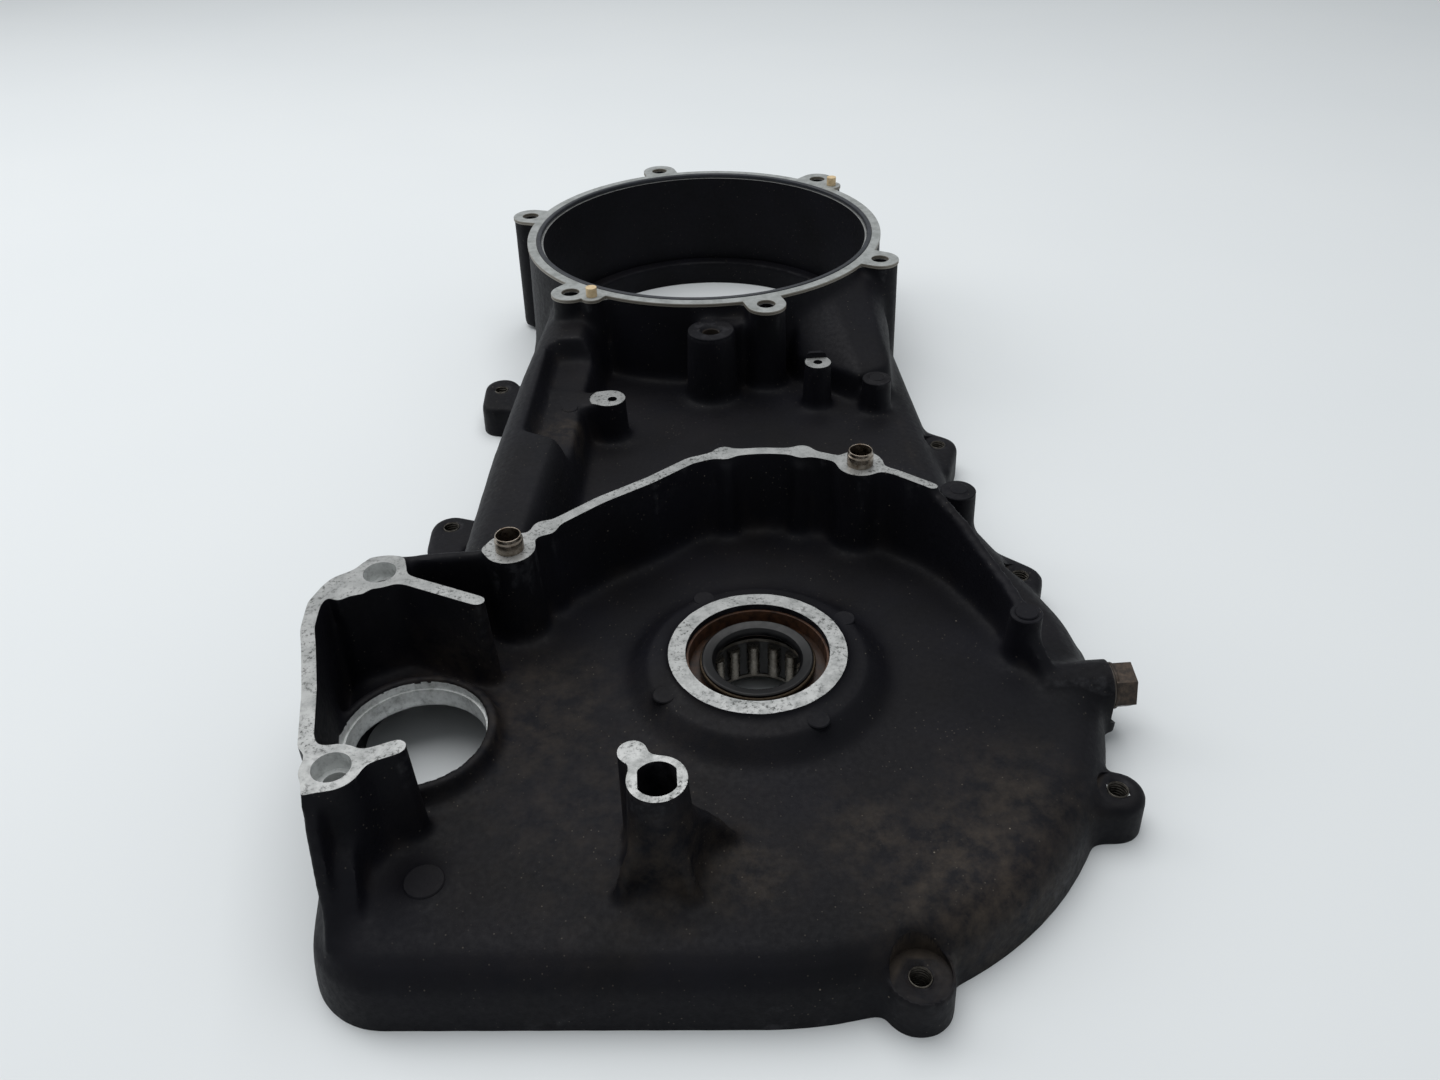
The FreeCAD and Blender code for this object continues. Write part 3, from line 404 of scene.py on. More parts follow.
@dataclass(frozen=True)
class MachinedAluminium:
    """Bare cast aluminium after machining: bright, with fine cutter marks, pores and grey stains."""

    name: str
    lay: Lay
    clean: str = "#a9aaa9"
    stained: str = "#808281"
    pores: float = 0.8
    roughness: float = 0.42
    metallic: float = 0.7
    pore_colour: str = "#2a2928"

    def make(self) -> bpy.types.Material:
        """Builds the material.

        Returns:
            The metal, with marks that follow its lay.
        """
        p = Painter(self.name)
        stain = p.ramp(p.noise(6, 6, 0.7), 0.42, 0.7)
        colour = p.mix(stain, self.clean, self.stained)
        fine = p.ramp(p.noise(1.5, 5, 0.8), 0.54, 0.6)
        field_of_pores = p.maths("MULTIPLY", fine, p.ramp(p.noise(15, 3), 0.38, 0.58, 0.1, 1.0))
        colour = p.mix(p.maths("MULTIPLY", field_of_pores, self.pores), colour, self.pore_colour)
        if self.lay is Lay.MILLED:
            marks = p.add("ShaderNodeTexWave", {"Vector": p.place, "Scale": per_wave(1.1), "Distortion": 1.5,
                                                "Detail": 2.0}, bands_direction="DIAGONAL").outputs[1]
        elif self.lay is Lay.TURNED_WALL:
            marks = p.add("ShaderNodeTexWave", {"Vector": p.place, "Scale": per_wave(0.8), "Distortion": 0.6},
                          bands_direction="Z").outputs[1]
        else:
            shift = (0, -SHAFT[1] * MM, 0)
            centred = p.add("ShaderNodeMapping", {"Vector": p.place, "Location": shift}).outputs[0]
            marks = p.add("ShaderNodeTexWave", {"Vector": centred, "Scale": per_wave(0.7), "Distortion": 0.4},
                          wave_type="RINGS", rings_direction="Z").outputs[1]
        worn = p.bump(p.noise(1.2, 4, 0.7), 0.03, 0.5)
        cut = p.bump(marks, 0.012, 0.6, worn)
        rough = p.ramp(p.noise(3, 5), 0.35, 0.7, self.roughness - 0.08, self.roughness + 0.16)
        return p.surface(Base_Color=colour, Metallic=self.metallic, Roughness=rough, Normal=cut)


@dataclass(frozen=True)
class Plain:
    """Finish of a small piece: a colour with stains of a second one, some pitting and an even gloss."""

    name: str
    colour: str
    stain: str
    roughness: float
    metallic: float = 0.0
    stain_size: float = 3.0
    stain_share: float = 0.6
    grit: float = 0.5
    grit_depth: float = 0.02
    band: float = 0.0

    def make(self) -> bpy.types.Material:
        """Builds the material.

        Returns:
            The finish; with a band, fine rings run round the piece at that spacing in millimetres.
        """
        p = Painter(self.name)
        spread = p.ramp(p.noise(self.stain_size, 5, 0.65), 0.38, 0.68, 0, self.stain_share)
        colour = p.mix(spread, self.colour, self.stain)
        normal = p.bump(p.noise(self.grit, 3), self.grit_depth, 0.7)
        if self.band:
            rings = p.add("ShaderNodeTexWave", {"Vector": p.place, "Scale": per_wave(self.band)},
                          bands_direction="Z").outputs[1]
            normal = p.bump(rings, 0.02, 0.6, normal)
        gloss = p.noise(self.stain_size * 0.7, 4)
        rough = p.ramp(gloss, 0.3, 0.7, self.roughness - 0.07, self.roughness + 0.1)
        return p.surface(Base_Color=colour, Metallic=self.metallic, Roughness=rough, Normal=normal)


@dataclass(frozen=True)
class LayeredGasket:
    """Gasket plate: grey coated faces, brownish raw edge with the lines of its layers."""

    face: str = "#9a9d9c"
    worn: str = "#7b7e7c"
    fleck: str = "#c4c6c4"
    edge: str = "#5d554a"
    line: str = "#8c8880"
    layer: float = 0.55

    def make(self) -> bpy.types.Material:
        """Builds the material.

        Returns:
            The gasket finish; the raw edge shows wherever the surface stands upright.
        """
        p = Painter("gasket_plate")
        flat = p.ramp(p.maths("ABSOLUTE", p.facing_up()), 0.5, 0.9)
        face = p.mix(p.ramp(p.noise(5, 5, 0.65), 0.4, 0.7), self.face, self.worn)
        face = p.mix(p.ramp(p.noise(0.6, 3), 0.6, 0.7, 0, 0.35), face, self.fleck)
        lines = p.add("ShaderNodeTexWave", {"Vector": p.place, "Scale": per_wave(self.layer)},
                      bands_direction="Z").outputs[1]
        side = p.mix(lines, self.edge, self.line)
        normal = p.bump(p.noise(0.7, 3), 0.02, 0.6)
        return p.surface(Base_Color=p.mix(flat, side, face), Metallic=0.25, Roughness=0.5, Normal=normal)


@dataclass(frozen=True)
class SealLip:
    """Moulded seal lip: black collar at the shaft, and a web outside it that is stained brown by old oil."""

    rubber: str = "#060608"
    worn: str = "#0e0d0e"
    oil: str = "#38210f"
    old_oil: str = "#150d0a"
    collar: float = 21.4

    def make(self) -> bpy.types.Material:
        """Builds the material.

        Returns:
            The lip finish; the stain starts at the radius of the collar about the shaft.
        """
        p = Painter("lip_rubber")
        centred = p.add("ShaderNodeVectorMath", {0: p.place, 1: (0.0, -SHAFT[1] * MM, 0.0)}).outputs[0]
        level = p.add("ShaderNodeVectorMath", {0: centred, 1: (1.0, 1.0, 0.0)}, operation="MULTIPLY")
        radius = p.add("ShaderNodeVectorMath", {0: level.outputs[0]}, operation="LENGTH").outputs["Value"]
        black = p.mix(p.ramp(p.noise(4, 4), 0.4, 0.7), self.rubber, self.worn)
        brown = p.mix(p.ramp(p.noise(5, 5, 0.65), 0.35, 0.65), self.oil, self.old_oil)
        colour = p.mix(p.ramp(radius, (self.collar - 0.3) * MM, (self.collar + 0.4) * MM), black, brown)
        rough = p.ramp(p.noise(3, 4), 0.3, 0.7, 0.28, 0.46)
        grain = p.bump(p.noise(0.6, 3), 0.02, 0.7)
        return p.surface(Base_Color=colour, Roughness=rough, Specular_IOR_Level=0.3, Normal=grain)


FINISHES = (
    Plain("bead_rubber", "#15181f", "#262a33", 0.42, stain_size=6),
    Plain("pin_plastic", "#cdb68f", "#a58a62", 0.6, stain_size=2, grit=1.6, grit_depth=0.5),
    Plain("case_steel", "#4d3323", "#1d120d", 0.45, metallic=0.4, stain_size=3, stain_share=0.9),
    Plain("spring_wire", "#5f5344", "#382c22", 0.4, metallic=0.8, stain_size=1.5),
    Plain("race_steel", "#6e6a64", "#3a342e", 0.32, metallic=0.95, stain_size=3),
    Plain("cage_plastic", "#0c0c0e", "#19181a", 0.35, stain_size=3),
    Plain("roller_steel", "#918c84", "#4f473f", 0.26, metallic=0.95, stain_size=4, stain_share=0.5,
          grit_depth=0.004),
    Plain("dowel_steel", "#9a9186", "#574534", 0.3, metallic=1.0, stain_size=2.5, stain_share=0.8),
    Plain("oxide_steel", "#2f2a26", "#574a3f", 0.42, metallic=0.7, stain_size=2, grit_depth=0.04),
    # Thread colour and its heavy dark stain are painted shade: the threads are darkened for the shade inside
    # the lug holes.
    Plain("shaded_thread_metal", "#57534d", "#1d1b19", 0.34, metallic=0.9, stain_size=1.5, stain_share=0.8),
    Plain("ring_copper", "#3a3632", "#5a5047", 0.5, metallic=0.5),
)


# Sub-assemblies


@dataclass
class Screwed:
    """Threaded hole with its seat, for the threads and the cutters."""

    x: float
    y: float
    seat: float
    spotface: float
    radius: float = 3.2
    pitch: float = 1.25


@dataclass
class CastCover:
    """The casting: its skin, its machined faces and the threads in its lugs."""

    voxel: float = 1.35
    faces_kept: int = 178000
    stock: float = 3.0
    fill_steps: int = 26
    soften_steps: int = 3
    crank_bore: float = 94.9
    ear_circle: float = 110.5
    ear_turns: tuple[float, ...] = (161.0, 102.3, 45.0, -30.6, -76.2, -133.4)
    pin_circle: float = 108.0
    pin_turns: tuple[float, ...] = (-126.6, 37.6)
    dowel_pads: tuple[tuple[float, float], ...] = ((-91.6, -301.1), (51.0, -255.3))
    corner_pads: tuple[tuple[float, float], ...] = ((-139.2, -311.5), (-137.6, -409.4))
    tall_boss: tuple[float, float] = (-38.2, -423.0)
    tall_lobe: tuple[float, float] = (-45.6, -411.0)
    starter: tuple[float, float] = (-124.9, -362.8)
    middle_boss: tuple[float, float] = (-3.3, -117.6)
    stub_boss: tuple[float, float] = (50.1, -134.7)
    ear_boss: tuple[float, float] = (-56.5, -155.2)
    ear_boss_hole: tuple[float, float] = (-54.9, -156.2)
    drain: tuple[float, float, float] = (131.2, -350.0, 20.5)
    pad: float = 66.0
    hub: float = 38.0
    starter_rim: float = 34.0
    ear_boss_top: float = 48.0
    stub_boss_top: float = 51.0
    lobe_top: float = 65.6
    seal_seat: float = 27.13
    bearing_seat: float = 23.83
    starter_bore: float = 24.8
    starter_step: float = 25.7
    ear_hole: float = 4.4
    pin_hole: float = 1.93
    pad_hole: float = 4.3
    sleeve_seat: float = 5.53
    counterbore: float = 6.2
    middle_hole: float = 4.2
    bracket_hole: float = 2.3
    drain_thread: float = 6.03
    crisp_tops: tuple[tuple[float, float, float, float], ...] = (
        (-3.3, -117.6, 11.9, 64.0), (99.0, -240.0, 7.8, 39.0),
        (79.6, -142.1, 7.3, 44.0), (101.1, -336.8, 6.1, 48.0))
    raised_discs: tuple[tuple[float, float, float, float], ...] = (
        (-113.9, -424.5, 6.6, 28.2), (99.0, -240.0, 4.2, 39.8), (-75.7, -162.3, 4.0, 47.8),
        (79.6, -142.1, 4.2, 44.8), (101.1, -336.8, 4.4, 48.7))
    hub_disc_circle: float = 40.0
    hub_disc_turns: tuple[float, ...] = (27.0, 117.0, 207.0, 297.0)
    thread_depth: float = 0.5
    lugs: list[Screwed] = field(default_factory=lambda: [
        Screwed(108.3, -165.4, 17, 7.6), Screwed(119.9, -275.4, 17, 7.6), Screwed(120.3, -397.3, 17, 7.6),
        Screwed(37.5, -462.0, 14.5, 9.6), Screwed(-119.7, -82.0, 17, 6.0), Screwed(-132.0, -213.5, 17, 6.0),
        Screwed(109.9 * math.cos(math.radians(58)), 109.9 * math.sin(math.radians(58)), 17, 6.0),
        Screwed(109.9 * math.cos(math.radians(126)), 109.9 * math.sin(math.radians(126)), 17, 6.0)])

    def on_circle(self, radius: float, turns: tuple[float, ...]) -> list[tuple[float, float]]:
        """Points on a circle about the crank axis at turns in degrees."""
        return [(radius * math.cos(math.radians(t)), radius * math.sin(math.radians(t))) for t in turns]

    def blank(self) -> bpy.types.Object:
        """Copies the casting and adds machining stock to the faces that are cut later.

        Returns:
            The blank, its doubles merged.
        """
        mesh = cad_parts["cover_casting"].data.copy()
        mesh.materials.clear()
        work = bmesh.new()
        work.from_mesh(mesh)
        bmesh.ops.remove_doubles(work, verts=work.verts, dist=2e-6)
        work.to_mesh(mesh)
        work.free()
        made = bpy.data.objects.new("cover_skin", mesh)
        bpy.context.scene.collection.objects.link(made)
        points = coordinates(mesh)
        centre, normal, corners, owner = self.polygons(mesh)
        flat_up, z = normal[:, 2] > 0.99, centre[:, 2]

        def level(height: float) -> np.ndarray:
            """Faces that look up at one height."""
            return flat_up & (np.abs(z - up(height)) < 0.03)

        def around(place: tuple[float, float], radius: float) -> np.ndarray:
            """Faces whose middle is within a radius of a place."""
            return np.hypot(centre[:, 0] - place[0], centre[:, 1] - place[1]) < radius

        raised = level(FLANGE_HEIGHT) | (level(self.pad) & (centre[:, 1] < -236))
        raised |= level(self.hub) & around(SHAFT, 34)
        raised |= level(self.ear_boss_top) & around(self.ear_boss, 9)
        raised |= level(self.stub_boss_top) & around(self.stub_boss, 8)
        raised |= level(self.lobe_top) & around(self.tall_lobe, 9)
        lowered = (normal[:, 2] < -0.99) & (z < up(0.03))
        pushed = (normal[:, 0] > 0.99) & (centre[:, 0] > self.drain[0] - 0.05)
        moves = ((raised, 2, self.stock), (lowered, 2, -self.stock), (pushed, 0, self.stock))
        for chosen, axis, amount in moves:
            moved = np.unique(corners[chosen[owner]])
            points[moved, axis] += amount
        mesh.vertices.foreach_set("co", (points * MM).ravel())
        mesh.update()
        return made

    def polygons(self, mesh: bpy.types.Mesh) -> tuple[np.ndarray, np.ndarray, np.ndarray, np.ndarray]:
        """Reads centres (mm) and normals of all faces, the vertex of each face corner and its face."""
        count = len(mesh.polygons)
        centre, normal = np.empty(count * 3), np.empty(count * 3)
        mesh.polygons.foreach_get("center", centre)
        mesh.polygons.foreach_get("normal", normal)
        corners = np.empty(len(mesh.loops), dtype=np.int32)
        mesh.loops.foreach_get("vertex_index", corners)
        totals = np.empty(count, dtype=np.int32)
        mesh.polygons.foreach_get("loop_total", totals)
        return centre.reshape(-1, 3) / MM, normal.reshape(-1, 3), corners, np.repeat(np.arange(count), totals)

    def neighbours(self, mesh: bpy.types.Mesh) -> tuple[np.ndarray, np.ndarray, np.ndarray]:
        """Edge ends of a mesh and the number of neighbours of each vertex."""
        ends = np.empty(len(mesh.edges) * 2, dtype=np.int32)
        mesh.edges.foreach_get("vertices", ends)
        a, b = ends.reshape(-1, 2).T
        size = len(mesh.vertices)
        return a, b, np.maximum(np.bincount(a, minlength=size) + np.bincount(b, minlength=size), 1)

    def average(self, values: np.ndarray, a: np.ndarray, b: np.ndarray, degree: np.ndarray) -> np.ndarray:
        """Mean of the neighbours' values at each vertex."""
        size = len(degree)
        if values.ndim == 1:
            return (np.bincount(a, values[b], size) + np.bincount(b, values[a], size)) / degree
        return np.column_stack([self.average(values[:, k], a, b, degree) for k in range(values.shape[1])])

    def normals(self, points: np.ndarray, quads: np.ndarray) -> np.ndarray:
        """Vertex normals: the sum of the normals of the faces round each vertex, made one long."""
        first_way = points[quads[:, 2]] - points[quads[:, 0]]
        second_way = points[quads[:, 3]] - points[quads[:, 1]]
        across = np.cross(first_way, second_way)
        total = np.column_stack([sum(np.bincount(quads[:, c], across[:, k], len(points)) for c in range(4))
                                 for k in range(3)])
        return total / np.maximum(np.linalg.norm(total, axis=1, keepdims=True), 1e-12)

    def soften(self, made: bpy.types.Object) -> None:
        """Rounds the blank as a mould does: inner corners fill up, outer edges only lose their sharpness.

        Each step compares a vertex with the mean of its neighbours. The part of that offset along the
        normal is positive in a hollow corner. Filling steps move only such vertices, outwards by half of
        it; softening steps move every vertex by half of the whole offset.
        """
        remesh = made.modifiers.new("voxels", "REMESH")
        remesh.mode = "VOXEL"
        remesh.voxel_size = self.voxel * MM
        apply_modifiers(made)
        mesh = made.data
        points = coordinates(mesh)
        _, _, corners, _ = self.polygons(mesh)
        quads = corners.reshape(-1, 4)
        a, b, degree = self.neighbours(mesh)
        for _ in range(self.soften_steps):
            points += 0.5 * (self.average(points, a, b, degree) - points)
        for _ in range(self.fill_steps):
            normal = self.normals(points, quads)
            lift = np.einsum("ij,ij->i", self.average(points, a, b, degree) - points, normal)
            points += 0.5 * np.maximum(lift, 0.0)[:, None] * normal
        points += 0.5 * (self.average(points, a, b, degree) - points)
        mesh.vertices.foreach_set("co", (points * MM).ravel())
        mesh.update()
        thin = made.modifiers.new("thin", "DECIMATE")
        thin.ratio = self.faces_kept / (2 * len(mesh.polygons))
        apply_modifiers(made)

    def cutters(self) -> list[list[Solid]]:
        """The machining: four rounds of cuts, and in each round no two cuts overlap."""
        x, y, height = self.drain
        flats = circle(*self.tall_boss, 7.0)
        flats[:, 0] = np.clip(flats[:, 0], self.tall_boss[0] - 6, self.tall_boss[0] + 6)
        stub_seat = circle(*self.stub_boss, 8.0)
        stub_seat[:, 1] = np.minimum(stub_seat[:, 1], self.stub_boss[1] + 4.7)
        first = [barrel(0, 0, 135, 0, 8), block((-175, -475, up(self.pad)), (112, -236, 8)),
                 barrel(*SHAFT, 35, up(self.hub), up(self.hub) + 9),
                 block((-185, -495, -80), (150, 135, -70)),
                 prism(stub_seat, up(self.stub_boss_top), up(self.stub_boss_top) + 8),
                 barrel(*self.ear_boss, 9.6, up(self.ear_boss_top), up(self.ear_boss_top) + 8)]
        second = [barrel(0, 0, self.crank_bore, up(15), 1, 256),
                  barrel(*SHAFT, self.seal_seat, up(28.5), up(39), 144),
                  barrel(*self.starter, self.starter_bore, -71, up(34.5), 128),
                  prism(flats, -71, up(self.pad + 1)),
                  barrel(*self.middle_boss, self.middle_hole, up(34), up(66)),
                  barrel(*self.stub_boss, self.bracket_hole, up(36), up(53)),
                  barrel(*self.ear_boss_hole, self.bracket_hole, up(34), up(49)),
                  lying(barrel(0, 0, self.drain_thread, x - 15, x + 5), 0, y, up(height))]
        ears = self.on_circle(self.ear_circle, self.ear_turns)
        pins = self.on_circle(self.pin_circle, self.pin_turns)
        second += [barrel(*place, self.ear_hole, -30, 1) for place in ears]
        second += [barrel(*place, self.pin_hole, -4, 1, 32) for place in pins]
        second += [barrel(*place, self.pad_hole, -71, up(self.pad + 1)) for place in self.dowel_pads]
        second += [barrel(*place, self.pad_hole, up(26), up(self.pad + 1)) for place in self.corner_pads]
        second += [barrel(lug.x, lug.y, lug.radius + self.thread_depth, -71, up(lug.seat + 1), 48)
                   for lug in self.lugs]
        third = [barrel(*place, self.sleeve_seat, up(58), up(self.pad + 1)) for place in self.dowel_pads]
        third += [barrel(*place, self.counterbore, up(59), up(self.pad + 1)) for place in self.corner_pads]
        third += [barrel(*self.starter, self.starter_step, up(29.5), up(35), 128),
                  barrel(*SHAFT, self.bearing_seat, up(3), up(27.5), 144)]
        third += [barrel(lug.x, lug.y, lug.spotface, up(lug.seat), up(40)) for lug in self.lugs]
        third.append(prism(circle(*self.middle_boss, self.middle_hole), up(62), up(64.2),
                           circle(*self.middle_boss, 6.4)))
        third.append(lying(barrel(0, 0, 14, x, x + 8), 0, y, up(height)))
        third.append(barrel(*self.tall_lobe, 5.2, up(self.lobe_top), up(self.pad + 1)))
        fourth = [barrel(*SHAFT, 21.8, up(27), up(29), 144), barrel(*SHAFT, 25.4, up(5.9), up(7.5), 144)]
        return [first, second, third, fourth]

    def discs(self) -> list[list[Solid]]:
        """Crisp tops of the bosses, then the small raised discs that the ejector pins of the mould leave."""
        places = list(self.raised_discs)
        for turn in self.hub_disc_turns:
            x = SHAFT[0] + self.hub_disc_circle * math.cos(math.radians(turn))
            y = SHAFT[1] + self.hub_disc_circle * math.sin(math.radians(turn))
            places.append((x, y, 4.3, self.hub - 2.2))
        return [[disc(x, y, radius, up(top - 3), up(top)) for x, y, radius, top in chosen]
                for chosen in (self.crisp_tops, places)]

    def machine(self, made: bpy.types.Object) -> None:
        """Adds the crisp discs, then cuts the machined faces and holes out of the blank."""
        tools = []
        rounds = [("UNION", solids) for solids in self.discs()]
        rounds += [("DIFFERENCE", solids) for solids in self.cutters()]
        for number, (operation, solids) in enumerate(rounds):
            tool = joined("cutter_%d" % number, solids)
            cut = made.modifiers.new("cut_%d" % number, "BOOLEAN")
            cut.operation = operation
            cut.solver = "MANIFOLD"
            cut.object = tool
            tools.append(tool)
        apply_modifiers(made)
        for tool in tools:
            bpy.data.objects.remove(tool)

    def dress(self, made: bpy.types.Object) -> None:
        """Gives each face its finish and writes how hollow the surface is at each vertex.

        The value of corner is the offset of a vertex from its neighbours along the normal, divided by the
        distance to them: above 0 in a hollow corner, below 0 on an outer edge.
        """
        mesh = made.data
        finishes = [PowderCoat().make(), MachinedAluminium("milled_faces", Lay.MILLED).make(),
                    MachinedAluminium("turned_bores", Lay.TURNED_WALL, clean="#d8dad9", stained="#a9abaa",
                                      pores=0.25, roughness=0.4, metallic=0.45).make(),
                    MachinedAluminium("faced_hub_ring", Lay.FACED_RING, pores=0.75).make()]
        mesh.materials.clear()
        for finish in finishes:
            mesh.materials.append(finish)
        centre, normal, _, _ = self.polygons(mesh)
        x, y, z = centre.T
        flat_up = normal[:, 2] > 0.97

        def on(height: float) -> np.ndarray:
            """Faces that look up at one height."""
            return flat_up & (np.abs(z - up(height)) < 0.02)

        def within(place: tuple[float, float], radius: float) -> np.ndarray:
            """Faces whose middle is within a radius of a place."""
            return np.hypot(x - place[0], y - place[1]) < radius

        milled = on(FLANGE_HEIGHT) | on(self.pad) | (z < up(0.02))
        milled |= on(self.ear_boss_top) & within(self.ear_boss, 10)
        milled |= on(self.stub_boss_top) & within(self.stub_boss, 9)
        milled |= within(self.tall_lobe, 5.4) & on(self.lobe_top)
        milled |= (normal[:, 0] > 0.97) & (np.abs(x - self.drain[0]) < 0.02)
        bores = within(self.starter, 25.75) & (z > up(18)) & (z < up(self.starter_rim - 0.4))
        for place in (*self.dowel_pads, *self.corner_pads):
            bores |= within(place, 6.3) & (z < up(self.pad - 0.05))
        for lug in self.lugs:
            bores |= within((lug.x, lug.y), lug.radius + self.thread_depth + 0.02) & (z < up(lug.seat - 0.05))
        slots = np.zeros(len(x), dtype=np.int32)
        slots[milled] = 1
        slots[bores] = 2
        slots[on(self.hub) & within(SHAFT, 36)] = 3
        mesh.polygons.foreach_set("material_index", slots)
        a, b, degree = self.neighbours(mesh)
        points = coordinates(mesh)
        normals = np.empty(len(points) * 3)
        mesh.vertices.foreach_get("normal", normals)
        reach = self.average(points, a, b, degree) - points
        hollow = np.einsum("ij,ij->i", reach, normals.reshape(-1, 3)) / 0.45
        for _ in range(4):
            hollow = 0.5 * (hollow + self.average(hollow, a, b, degree))
        hollow[np.abs(np.hypot(points[:, 0], points[:, 1]) - self.crank_bore) < 0.1] = 0.0
        mesh.attributes.new("corner", "FLOAT", "POINT").data.foreach_set("value", np.clip(hollow, -1, 1))
        mesh.shade_smooth()
        mesh.set_sharp_from_angle(angle=math.radians(38))

    def thread(self, number: int, lug: Screwed, metal: bpy.types.Material) -> bpy.types.Object:
        """Makes the thread of one lug as a sleeve in its hole.

        The inner radius falls from the root to the crest and back once for each pitch, and the phase runs
        on by one pitch for each turn; the outer wall is a plain cylinder.

        Args:
            number: number of the lug.
            lug: the hole.
            metal: its finish, whose dark colour and stain paint the shade inside the hole.

        Returns:
            The sleeve.
        """
        turns, rows = 40, int(lug.seat / lug.pitch * 8)
        turn = np.linspace(0, 2 * np.pi, turns, endpoint=False)[:, None]
        rise = np.linspace(up(0.2), up(lug.seat - 0.3), rows)[None, :]
        phase = (rise / lug.pitch - turn / (2 * np.pi)) % 1.0
        crest = np.clip(1.5 - 3.2 * np.abs(phase - 0.5), 0, 1)
        root = lug.radius + self.thread_depth - 0.02
        inner = np.broadcast_to(root - 0.03 - (self.thread_depth - 0.05) * crest, (turns, rows))
        outer = np.full((turns, 2), root)
        radius = np.hstack([inner, outer])
        height = np.broadcast_to(np.hstack([rise, rise[:, [-1, 0]]]), radius.shape)
        points = np.stack([lug.x + radius * np.cos(turn), lug.y + radius * np.sin(turn), height], axis=-1)
        made = grid_object("lug_thread_%d" % number, points)
        made.data.materials.append(metal)
        return made

    def build(self, finishes: dict[str, bpy.types.Material]) -> None:
        """Builds the skin and the threads and ties them to the cover."""
        skin = self.blank()
        self.soften(skin)
        self.machine(skin)
        self.dress(skin)
        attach(skin, COVER)
        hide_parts("cover_casting")
        log.info("cover skin: %d faces", len(skin.data.polygons))
        for number, lug in enumerate(self.lugs, start=1):
            sleeve = self.thread(number, lug, finishes["shaded_thread_metal"])
            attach(sleeve, COVER)
            log.info("thread %d", number)


@dataclass
class GarterSpring:
    """Spring round the lip of the seal: a close coil whose axis is a circle about the shaft."""

    ring_radius: float = 21.2
    height: float = 32.9
    coil_radius: float = 0.68
    wire_radius: float = 0.2
    coils: int = 288
    steps_per_coil: int = 10
    sides: int = 6

    def points(self) -> np.ndarray:
        """Places on the wire.

        The middle of the wire goes once round the shaft while it turns round the ring axis coils times.
        The wire's own circle lies in the plane of the direction away from the ring axis and the direction
        of travel round the shaft.
        """
        along = np.linspace(0, 1, self.coils * self.steps_per_coil, endpoint=False)[:, None]
        about = np.linspace(0, 2 * np.pi, self.sides, endpoint=False)[None, :]
        ring, coil = 2 * np.pi * along, 2 * np.pi * self.coils * along
        out = self.coil_radius + self.wire_radius * np.cos(about)
        side = self.wire_radius * np.sin(about)
        radius = self.ring_radius + out * np.cos(coil)
        x = radius * np.cos(ring) - side * np.sin(ring) + SHAFT[0]
        y = radius * np.sin(ring) + side * np.cos(ring) + SHAFT[1]
        z = up(self.height) + out * np.sin(coil)
        return np.stack(np.broadcast_arrays(x, y, z), axis=-1)

    def build(self, finishes: dict[str, bpy.types.Material]) -> None:
        """Builds the wire in place of the plain ring."""
        wire = grid_object("garter_spring_wire", self.points())
        wire.data.materials.append(finishes["spring_wire"])
        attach(wire, COVER)
        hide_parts("seal_garter_spring")
        log.info("garter spring: %d coils", self.coils)


@dataclass
class SmallPieces:
    """Pieces whose modelled shape is right: they get their finish and slightly broken edges."""

    finish_of: dict[str, str] = field(default_factory=lambda: {
        "gasket_bead": "bead_rubber", "gasket_pin_1": "pin_plastic", "gasket_pin_2": "pin_plastic",
        "oil_seal_case": "case_steel", "oil_seal_lip": "lip_rubber", "bearing_outer_ring": "race_steel",
        "bearing_cage": "cage_plastic", "bearing_retaining_ring": "oxide_steel",
        "dowel_sleeve_left": "dowel_steel", "dowel_sleeve_right": "dowel_steel",
        "drain_plug": "oxide_steel", "drain_sealing_ring": "ring_copper", "crankcase_gasket": "gasket_plate",
        **{"roller_%02d" % number: "roller_steel" for number in range(1, 15)}})
    edge_of: dict[str, float] = field(default_factory=lambda: {
        "gasket_bead": 0.8, "gasket_pin_1": 0.9, "gasket_pin_2": 0.9, "dowel_sleeve_left": 0.25,
        "dowel_sleeve_right": 0.25, "drain_plug": 0.4, "drain_sealing_ring": 0.3, "crankcase_gasket": 0.25,
        "oil_seal_lip": 0.35, "oil_seal_case": 0.25})

    def build(self, finishes: dict[str, bpy.types.Material]) -> None:
        """Dresses the nodes."""
        for name, finish in self.finish_of.items():
            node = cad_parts[name]
            node.data.materials.clear()
            node.data.materials.append(finishes[finish])
            width = self.edge_of.get(name)
            if width:
                weld = node.modifiers.new("weld", "WELD")
                weld.merge_threshold = 2e-6
                edge = node.modifiers.new("edge", "BEVEL")
                edge.limit_method = "ANGLE"
                edge.angle_limit = math.radians(40)
                edge.width = width * MM
                edge.segments = 3
                edge.harden_normals = False
            log.info("%s: %s", name, finish)


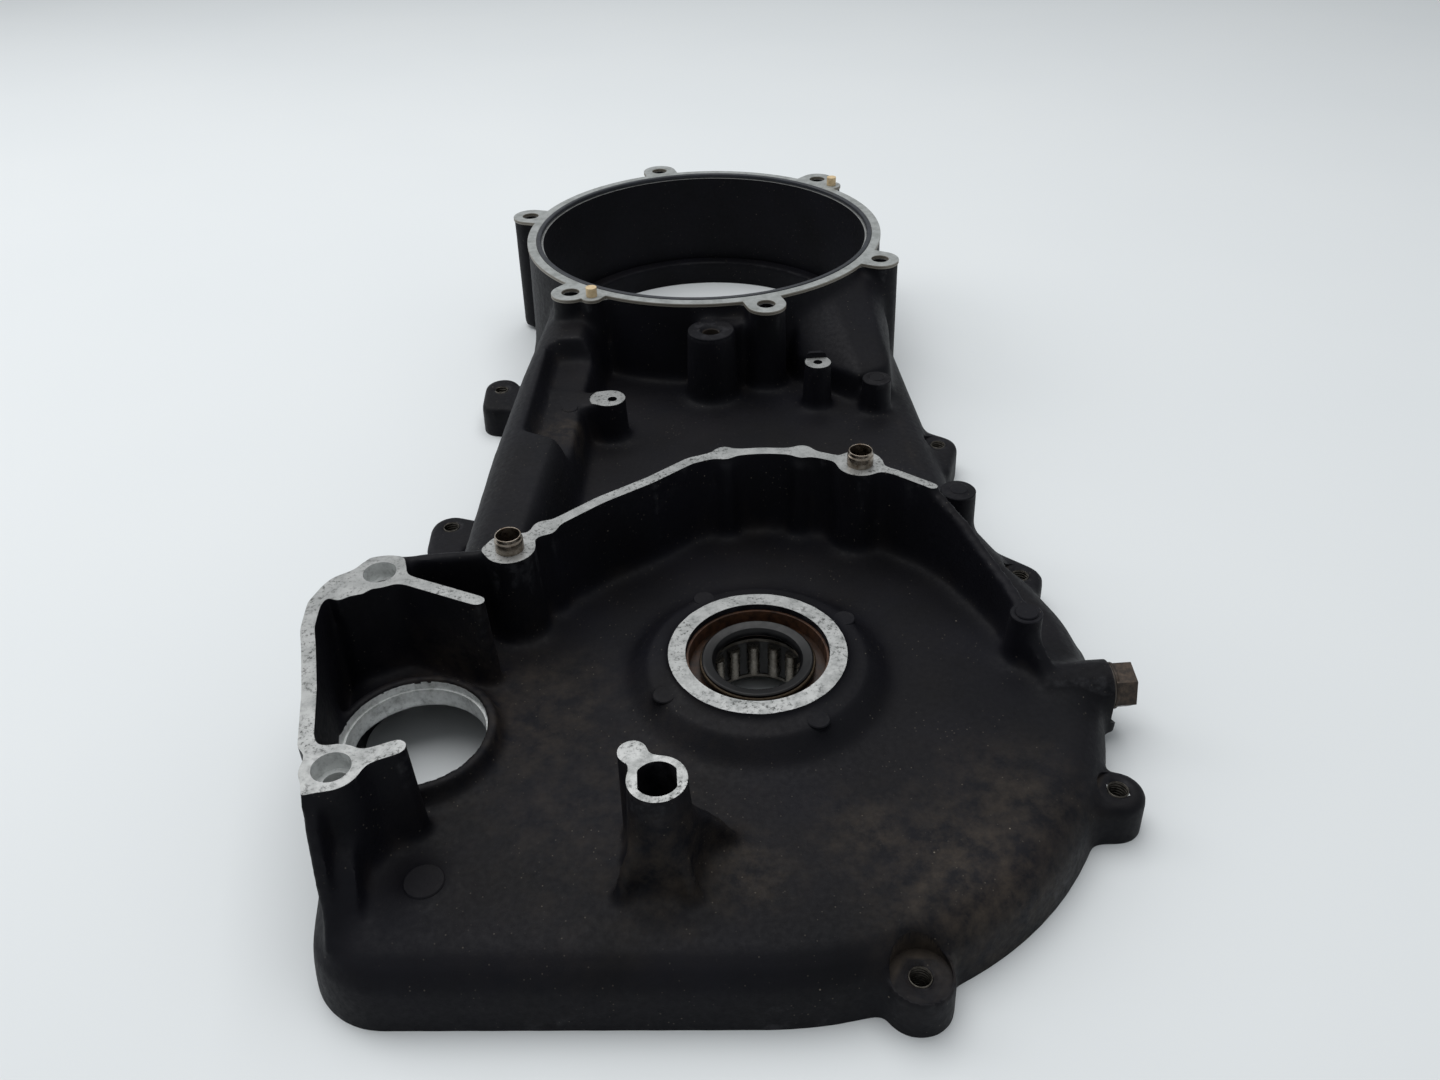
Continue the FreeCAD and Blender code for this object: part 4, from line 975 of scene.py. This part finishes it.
@dataclass
class Studio:
    """Pale floor, soft light and the camera of the photograph."""

    eye: tuple[float, float, float] = (-0.0292, -0.6623, 0.258)
    pitch: float = 36.14
    heading: tuple[float, float] = (0.0502, 0.9987)
    roll: float = 0.02984
    lens: float = 28.965
    floor_colour: str = "#dfe2e3"
    floor_shade: str = "#d9dddf"
    floor_half: float = 6.0
    lamp_target: tuple[float, float, float] = (0.0, -0.2, -0.05)
    sky_colour: str = "#e3e7ea"
    sky_strength: float = 0.55

    def camera(self) -> None:
        """Places the camera: right and up vectors follow from heading and pitch, then turn by the roll."""
        ahead = Vector((*self.heading, 0.0)).normalized()
        side = Vector((ahead.y, -ahead.x, 0.0))
        pitch = math.radians(self.pitch)
        forward = ahead * math.cos(pitch) - Vector((0, 0, math.sin(pitch)))
        above = ahead * math.sin(pitch) + Vector((0, 0, math.cos(pitch)))
        level = math.sqrt(1 - self.roll ** 2)
        right = side * level - above * self.roll
        top = side * self.roll + above * level
        data = bpy.data.cameras.new("camera")
        data.sensor_width = 36.0
        data.sensor_fit = "HORIZONTAL"
        data.lens = self.lens
        data.clip_start = 0.02
        made = bpy.data.objects.new("camera", data)
        bpy.context.scene.collection.objects.link(made)
        turn = Matrix((right, top, -forward)).transposed().to_4x4()
        made.matrix_world = Matrix.Translation(Vector(self.eye)) @ turn
        bpy.context.scene.camera = made

    def floor(self) -> None:
        """Lays the pale table under the sealing face."""
        reach = self.floor_half / MM
        z = up(0) - 0.02
        points = np.array([(-reach, -reach, z), (reach, -reach, z), (reach, reach, z), (-reach, reach, z)])
        made = mesh_object("table_top", points, [[0, 1, 2, 3]])
        painter = Painter("pale_table")
        shade = painter.mix(painter.noise(300, 2), self.floor_colour, self.floor_shade)
        made.data.materials.append(painter.surface(Base_Color=shade, Roughness=0.55, IOR=1.4))

    def lamp(self, name: str, place: tuple[float, float, float], size: float, power: float) -> None:
        """Adds a square lamp that looks at the middle of the cover."""
        data = bpy.data.lights.new(name, "AREA")
        data.shape = "SQUARE"
        data.size = size
        data.energy = power
        made = bpy.data.objects.new(name, data)
        bpy.context.scene.collection.objects.link(made)
        aim = Vector(self.lamp_target) - Vector(place)
        turn = aim.to_track_quat("-Z", "Y").to_matrix().to_4x4()
        made.matrix_world = Matrix.Translation(Vector(place)) @ turn

    def build(self) -> None:
        """Sets up light, floor and camera."""
        scene = bpy.context.scene
        scene.view_settings.view_transform = "Standard"
        world = bpy.data.worlds.new("studio")
        world.use_nodes = True
        background = world.node_tree.nodes["Background"]
        background.inputs["Color"].default_value = linear(self.sky_colour)
        background.inputs["Strength"].default_value = self.sky_strength
        scene.world = world
        self.lamp("lamp_above", (-0.1, 0.1, 1.5), 1.6, 19.0)
        self.lamp("lamp_left", (-1.3, 0.5, 0.9), 0.9, 6.0)
        self.floor()
        self.camera()
        log.info("studio ready")


def main() -> None:
    """Builds the finishes, the sub-assemblies in order and the studio."""
    logging.basicConfig(level=logging.INFO, format="%(name)s: %(message)s")
    finishes = {finish.name: finish.make() for finish in FINISHES}
    finishes["gasket_plate"] = LayeredGasket().make()
    finishes["lip_rubber"] = SealLip().make()
    CastCover().build(finishes)
    GarterSpring().build(finishes)
    SmallPieces().build(finishes)
    Studio().build()


if __name__ == "__main__":
    main()
